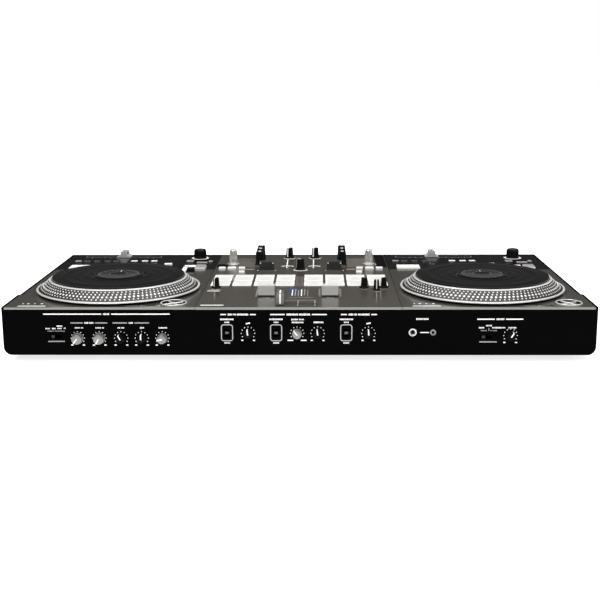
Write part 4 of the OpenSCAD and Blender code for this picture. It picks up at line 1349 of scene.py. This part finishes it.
def build_front_print():
    page = Ink((0, FRONT_Y, 0), (1, 0, 0), (0, 0, 1), [WHITE, DIM, SOFT_WHITE])
    line_h, label_h = 1.5, 1.9

    def line(x0, x1, z, h=line_h):
        page.bar((x0 + x1) / 2, z, x1 - x0, h)

    def label(x0, x1, z, parts, h=label_h):
        page.words((x0 + x1) / 2, z, x1 - x0, h, parts)

    # microphone section: a heading line, two sub-headings and a name over each knob
    line(-332, -256.4, 65)
    label(-254, -246, 65, (1,), 2.3)
    line(-243.3, -167, 65)
    for x0, x1, x2, x3 in ((-297, -281, -265, -249), (-242, -223, -213.3, -194.4)):
        page.use(DIM)
        line(x0, x1, 53.2, 1.7)
        line(x2, x3, 53.2, 1.7)
        page.use(WHITE)
        label(x1 + 2.2, x2 - 2.2, 53.2, (1, 1) if x2 - x1 > 12 else (1,), 2.3)
    for x0, x1, parts in ((-291.6, -280.8, (3, 1)), (-264.5, -253.5, (3, 1)),
                          (-235.8, -227.2, (2, 2)), (-206.4, -201.3, (1,)), (-182, -171.2, (3,))):
        label(x0, x1, 46.6, parts)
    for name in FRONT_KNOBS:
        x, _, z = axis_of(name + "_knob")
        page.ticks(x, z, 8.7, range(-120, 121, 30), 0.62)
        wide = name == "feel"
        for s in (-1, 1):
            page.bar(x + s * (8.6 if wide else 7.6), z - 9.3, 7.6 if wide else 2.8, 1.6)
    # microphone selector legend
    for x0, x1, z in ((-330, -324.5, 45.6), (-321.5, -317, 45.6), (-315, -308, 49),
                      (-314.5, -309, 45.8), (-306, -304, 46)):
        label(x0, x1, z, (1,), 1.8)
    page.use(DIM)
    label(-327.5, -305, 42.2, (2, 3), 1.3)
    line(-327.5, -305.5, 28.4, 1.5)
    page.use(WHITE)
    # curve sections, each with a framed reverse switch
    for x0, x1, x2, x3 in ((-101.2, -93.9, -62.7, -55.2), (-36.5, -17.7, 17.5, 37),
                           (55.3, 62.9, 94.4, 101.6)):
        line(x0, x1, 64.4)
        line(x2, x3, 64.4)
        label(x1 + 2.4, x2 - 2.4, 64.4, (2, 1, 5) if x1 != -17.7 else (1, 1), 2.8)
    for lo, hi in solids("reverse_switches"):
        c = (lo + hi) / 2
        page.use(SOFT_WHITE)
        page.box(c.x, c.z, REVERSE_FRAME[0], REVERSE_FRAME[1], 1.1, 3.4)
        page.use(WHITE)
        label(c.x - 8.6, c.x + 8.6, 58, (1,), 2.4)
        label(c.x - 3, c.x + 3, 54, (1,))
        label(c.x - 3.6, c.x + 3.6, 26.4, (1,), 2.0)
    label(-9, 7, 57.8, (3, 2), 2.2)
    label(-8.4, 6.4, 53.9, (1,), 2.2)
    label(19.7, 32.3, 54, (1,), 2.3)
    for name in ("curve1", "curve2"):
        x, _, z = axis_of(name + "_knob")
        page.bar(x, z + 13.4, 5.6, 1.8, 12)
    # phones section
    big, small = (next(m for m in frame["record"]["mounts"] if m["name"] == n)["pos_m"]
                  for n in ("phones_jack_large", "phones_jack_small"))
    label(big[0] / MM + 4.2, small[0] / MM - 6.4, 58.4, (3,), 2.4)
    line(158, 169.6, big[2] / MM, 1.2)
    # auxiliary section
    line(231.3, 253.9, 58.2)
    label(256.3, 266.2, 58.2, (1,), 2.6)
    line(268.4, 290.7, 58.2)
    for x0, x1, z in ((234, 240.4, 46.8), (243, 250.4, 49.6), (251, 267.8, 46.8), (272, 282, 46.8)):
        label(x0, x1, z, (1,), 2.0)
    page.use(DIM)
    label(236.5, 244, 43, (1,), 1.5)
    page.bar(246.8, 44.6, 1.1, 4)
    label(249, 257.3, 43, (1, 2), 1.5)
    line(235, 257.6, 27.9, 1.7)
    page.done("front_print", "case_black")


# ---- sockets ----

def turned_socket(name, mount, outer, mouth, depth, rings, materials):
    """A round socket, built about its own axis and placed on its mount."""
    x, _, z = (c / MM for c in mount["pos_m"])
    out = 1 if mount["axis"][1] > 0 else -1
    bm = bmesh.new()
    bore = mount["dims"]["r_mm"]
    barrel = [(bore, -depth + 2), (bore, -0.7), (bore + 0.5, -0.15), (bore + 0.9, 0),
              (outer - 0.35, 0), (outer, -0.35), (outer, -depth), (0, -depth), (0, -depth + 2)]
    lathe(bm, barrel, 48, 0)
    end = [(0, -depth + 2.02), (bore - 0.02, -depth + 2.02), (bore - 0.02, -depth + 2.3),
           (0, -depth + 2.3)]
    lathe(bm, end, 32, 1)
    for r0, r1, z0, z1, mat in rings:
        ring = [(r0, z0), (r1, z0), (r1, z1 - 0.3), (r1 - 0.3, z1), (r0 + 0.2, z1), (r0, z1 - 0.2)]
        lathe(bm, ring, 48, mat, closed=True)
    turn = Matrix.Rotation(math.radians(-90 * out), 4, "X")
    piece(bm, name, materials, "chassis", at=(x, mouth, z), turn=turn)


def build_sockets():
    mounts = {m["name"]: m for m in frame["record"]["mounts"]}
    mouth = FRONT_Y - 0.4
    for size, outer, depth, metal in (("large", 5.2, 30, SOCKET), ("small", 4.0, 18, GREY_METAL)):
        turned_socket("phones_socket_" + size, mounts["phones_jack_" + size], outer, mouth, depth,
                      [], [metal, INSIDE])
    for name, mount in mounts.items():
        if name.startswith("rear_jack"):
            turned_socket(name + "_socket", mount, 7.5, REAR_Y + 1.0, 30,
                          [(5.2, 7.4, -0.6, 0.0, 1)], [KNOB, SOCKET])
        if name.startswith("phono"):
            tint = 2 if mount["pos_m"][2] < 0.04 else 3
            turned_socket(name + "_socket", mount, 4.15, REAR_Y + 10.5, 22,
                          [(4.15, 5.9, -10.4, -8.0, tint)], [SOCKET, INSIDE, RED, WHITE])
    openings = {o["name"]: o["box_m"] for o in frame["record"]["physics"]["openings"]}
    bm = bmesh.new()
    for name, (lo, hi) in openings.items():
        x, z = (lo[0] + hi[0]) / 2 / MM, (lo[2] + hi[2]) / 2 / MM
        if name.startswith("xlr"):
            xlr_cup(bm, x, z)
        elif name.startswith("usb"):
            square_shell(bm, x, z, 14, 14, 8.4, 8.4, 17, 10.5, 0, 1.6)
            tongue(bm, x, z, 5.6, 3.2, 10, 5, 1)
        else:
            square_shell(bm, x, z, 32, 24, 24, 16, 21, 17, 2, 3.5)
            for k in (-1, 0, 1):
                tongue(bm, x + 7 * k, z, 2, 4, 17, 8, 0)
    piece(bm, "rear_sockets", [SOCKET, INSIDE, KNOB], "chassis",
          replaces=["io_sockets"])


def level(x, z, outline, y):
    """An upright outline about x and z, at y."""
    return [(x + px, y, z + pz) for px, pz in outline]


def square_shell(bm, x, z, w, h, iw, ih, depth, hole, mat, r):
    """Rectangular socket body with a well; the mouth faces the rear."""
    y = REAR_Y + 1.4
    ri = r * 0.6
    levels = [(iw, ih, ri, hole), (iw, ih, ri, 0.4), (iw + 0.8, ih + 0.8, ri, 0),
              (w - 0.8, h - 0.8, r, 0), (w, h, r, 0.4), (w, h, r, depth)]
    skin(bm, [level(x, z, rounded(a, b, corner), y - down) for a, b, corner, down in levels], mat)


def tongue(bm, x, z, w, h, deep, length, mat):
    """Contact blade that stands in a socket's well, with a narrowed end."""
    y = REAR_Y + 1.4 - deep
    blade, tip = rounded(w, h, 0.4, 2), rounded(w * 0.8, h * 0.85, 0.3, 2)
    skin(bm, [level(x, z, blade, y - 0.5), level(x, z, blade, y + length - 0.5),
              level(x, z, tip, y + length)], mat)


def xlr_cup(bm, x, z):
    """Round cup with three pins; the mouth faces the rear."""
    y = REAR_Y + 1.0
    cup = [(9.4, -16), (9.4, -0.8), (10.2, 0), (11.6, 0), (12, -0.4), (12, -18)]
    rings = [level(x, z, circle(r, 64), y + dy) for r, dy in cup]
    skin(bm, [[(x, y - 16, z)], *rings, [(x, y - 18, z)]], 2)
    for a in (90, 210, 330):
        px, pz = x + 3.6 * math.cos(math.radians(a)), z + 3.6 * math.sin(math.radians(a))
        pin = ((1.1, -16.5), (1.1, -9.2), (0.8, -8.7), (0.3, -8.5))
        skin(bm, [level(px, pz, circle(r, 16), y + dy) for r, dy in pin], 0)


def build_rear_print():
    page = Ink((0, REAR_Y, 0), (-1, 0, 0), (0, 0, 1), [WHITE])
    for m in frame["record"]["mounts"]:
        x, _, z = (c / MM for c in m["pos_m"])
        if m["name"].startswith("rear_jack"):
            page.words(-x, z + 11.5, 9, 1.5, (2, 1))
        elif m["name"].startswith("phono") and z > 42:
            page.words(-x, z + 8.6, 7, 1.4, (1,))
    for o in frame["record"]["physics"]["openings"]:
        lo, hi = o["box_m"]
        x, z = (lo[0] + hi[0]) / 2 / MM, (lo[2] + hi[2]) / 2 / MM
        rise = 16 if o["name"].startswith(("xlr", "mains")) else 11.5
        page.words(-x, z + rise, 12, 1.5, (2, 3))
    rocker = centre("power_switch")
    page.box(-rocker.x, rocker.z, 18, 25, 0.6, 2)
    page.box(102, 42, 72, 38, 0.5, 3)
    page.done("rear_print", "panel_black")


# ---- stage, light and camera ----

def build_stage():
    mesh = bpy.data.meshes.new("floor")
    bm = bmesh.new()
    bmesh.ops.create_grid(bm, x_segments=8, y_segments=8, size=9.0)
    bm.to_mesh(mesh)
    bm.free()
    n = Nodes("floor_white")
    n.colour(n.ramp(n.noise(3.0, 2.0), [(0.3, (0.9, 0.9, 0.9)), (0.7, (0.93, 0.93, 0.93))]))
    n.set(Roughness=0.9, Emission_Color=(1.0, 1.0, 1.0, 1.0), Emission_Strength=0.75)
    mesh.materials.append(n.material)
    floor = bpy.data.objects.new("floor", mesh)
    bpy.context.scene.collection.objects.link(floor)


def area_light(name, at, aim, size, power):
    data = bpy.data.lights.new(name, "AREA")
    data.shape = "RECTANGLE"
    data.size, data.size_y = size
    data.energy = power
    obj = bpy.data.objects.new(name, data)
    obj.location = at
    obj.rotation_euler = (Vector(aim) - Vector(at)).to_track_quat("-Z", "Y").to_euler()
    bpy.context.scene.collection.objects.link(obj)


def world_ramp(tree, value, stops):
    ramp = tree.nodes.new("ShaderNodeValToRGB")
    while len(ramp.color_ramp.elements) < len(stops):
        ramp.color_ramp.elements.new(0.5)
    for element, (at, grey) in zip(ramp.color_ramp.elements, stops):
        element.position = at
        element.color = (grey, grey, grey, 1)
    tree.links.new(value, ramp.inputs["Fac"])
    return ramp.outputs["Color"]


def build_light():
    """White studio: the camera sees white, and the light on the object is brighter from above."""
    area_light("softbox_top", (0.0, 0.15, 1.9), (0.0, 0.0, 0.0), (2.6, 1.5), 36)
    area_light("softbox_front", (-0.5, -2.1, 1.5), (0.0, 0.0, 0.05), (1.6, 0.9), 24)
    area_light("softbox_side", (2.2, -0.6, 1.1), (0.0, 0.0, 0.05), (0.8, 1.2), 9)
    world = bpy.data.worlds.new("studio")
    bpy.context.scene.world = world
    world.use_nodes = True
    tree = world.node_tree
    tree.nodes.clear()
    place = tree.nodes.new("ShaderNodeTexCoord").outputs["Generated"]
    split = tree.nodes.new("ShaderNodeSeparateXYZ")
    tree.links.new(place, split.inputs[0])
    stops = [(0.0, 0.02), (0.4, 0.025), (0.8, 0.5)]
    behind = [(0.0, 0.0), (0.19, 0.0), (0.26, 0.15), (0.36, 0.03), (0.45, 0.0)]
    plain, glow = (world_ramp(tree, split.outputs["Z"], rows) for rows in (stops, behind))
    rear = world_ramp(tree, split.outputs["Y"], [(0.75, 0.0), (0.95, 1.0)])
    both = tree.nodes.new("ShaderNodeVectorMath")
    both.operation = "MULTIPLY_ADD"
    for socket, source in zip(both.inputs, (glow, rear, plain)):
        tree.links.new(source, socket)
    lit = tree.nodes.new("ShaderNodeBackground")
    tree.links.new(both.outputs[0], lit.inputs["Color"])
    seen = tree.nodes.new("ShaderNodeBackground")
    seen.inputs["Color"].default_value = (1, 1, 1, 1)
    mix = tree.nodes.new("ShaderNodeMixShader")
    path = tree.nodes.new("ShaderNodeLightPath")
    tree.links.new(path.outputs["Is Camera Ray"], mix.inputs["Fac"])
    tree.links.new(lit.outputs[0], mix.inputs[1])
    tree.links.new(seen.outputs[0], mix.inputs[2])
    out = tree.nodes.new("ShaderNodeOutputWorld")
    tree.links.new(mix.outputs[0], out.inputs["Surface"])


CAMERA_AT = (0.02582, -1.51685, 0.37359)            # metres
CAMERA_TURN = (-1.024, 12.396, -0.243)              # yaw, pitch down and roll, in degrees


def build_camera():
    """The photo's camera: in front of the controller and a little above it."""
    yaw, pitch, roll = (math.radians(a) for a in CAMERA_TURN)
    f = Vector((math.sin(yaw) * math.cos(pitch), math.cos(yaw) * math.cos(pitch), -math.sin(pitch)))
    level_right = Vector((math.cos(yaw), -math.sin(yaw), 0))
    level_up = level_right.cross(f)
    right = level_right * math.cos(roll) + level_up * math.sin(roll)
    up = -level_right * math.sin(roll) + level_up * math.cos(roll)
    data = bpy.data.cameras.new("camera")
    data.sensor_width = 36.0
    data.lens = 62.743
    data.clip_start, data.clip_end = 0.05, 60
    camera = bpy.data.objects.new("camera", data)
    turn = Matrix((right, up, -f)).transposed().to_4x4()
    camera.matrix_world = Matrix.Translation(CAMERA_AT) @ turn
    bpy.context.scene.collection.objects.link(camera)
    bpy.context.scene.camera = camera


build_camera()
build_light()
build_stage()
build_case()
build_feet()
build_screws()
for one in SIDES:
    build_platter(one)
    build_record(one)
    build_start(one)
    build_tempo(one)
build_displays()
build_top_knobs()
build_encoders()
build_front_knobs()
build_pads()
build_keys()
build_faders()
build_levers()
build_switches()
build_rocker()
build_deck_print()
build_mixer_print()
build_front_print()
build_sockets()
build_rear_print()
bpy.context.scene.view_settings.view_transform = "Standard"
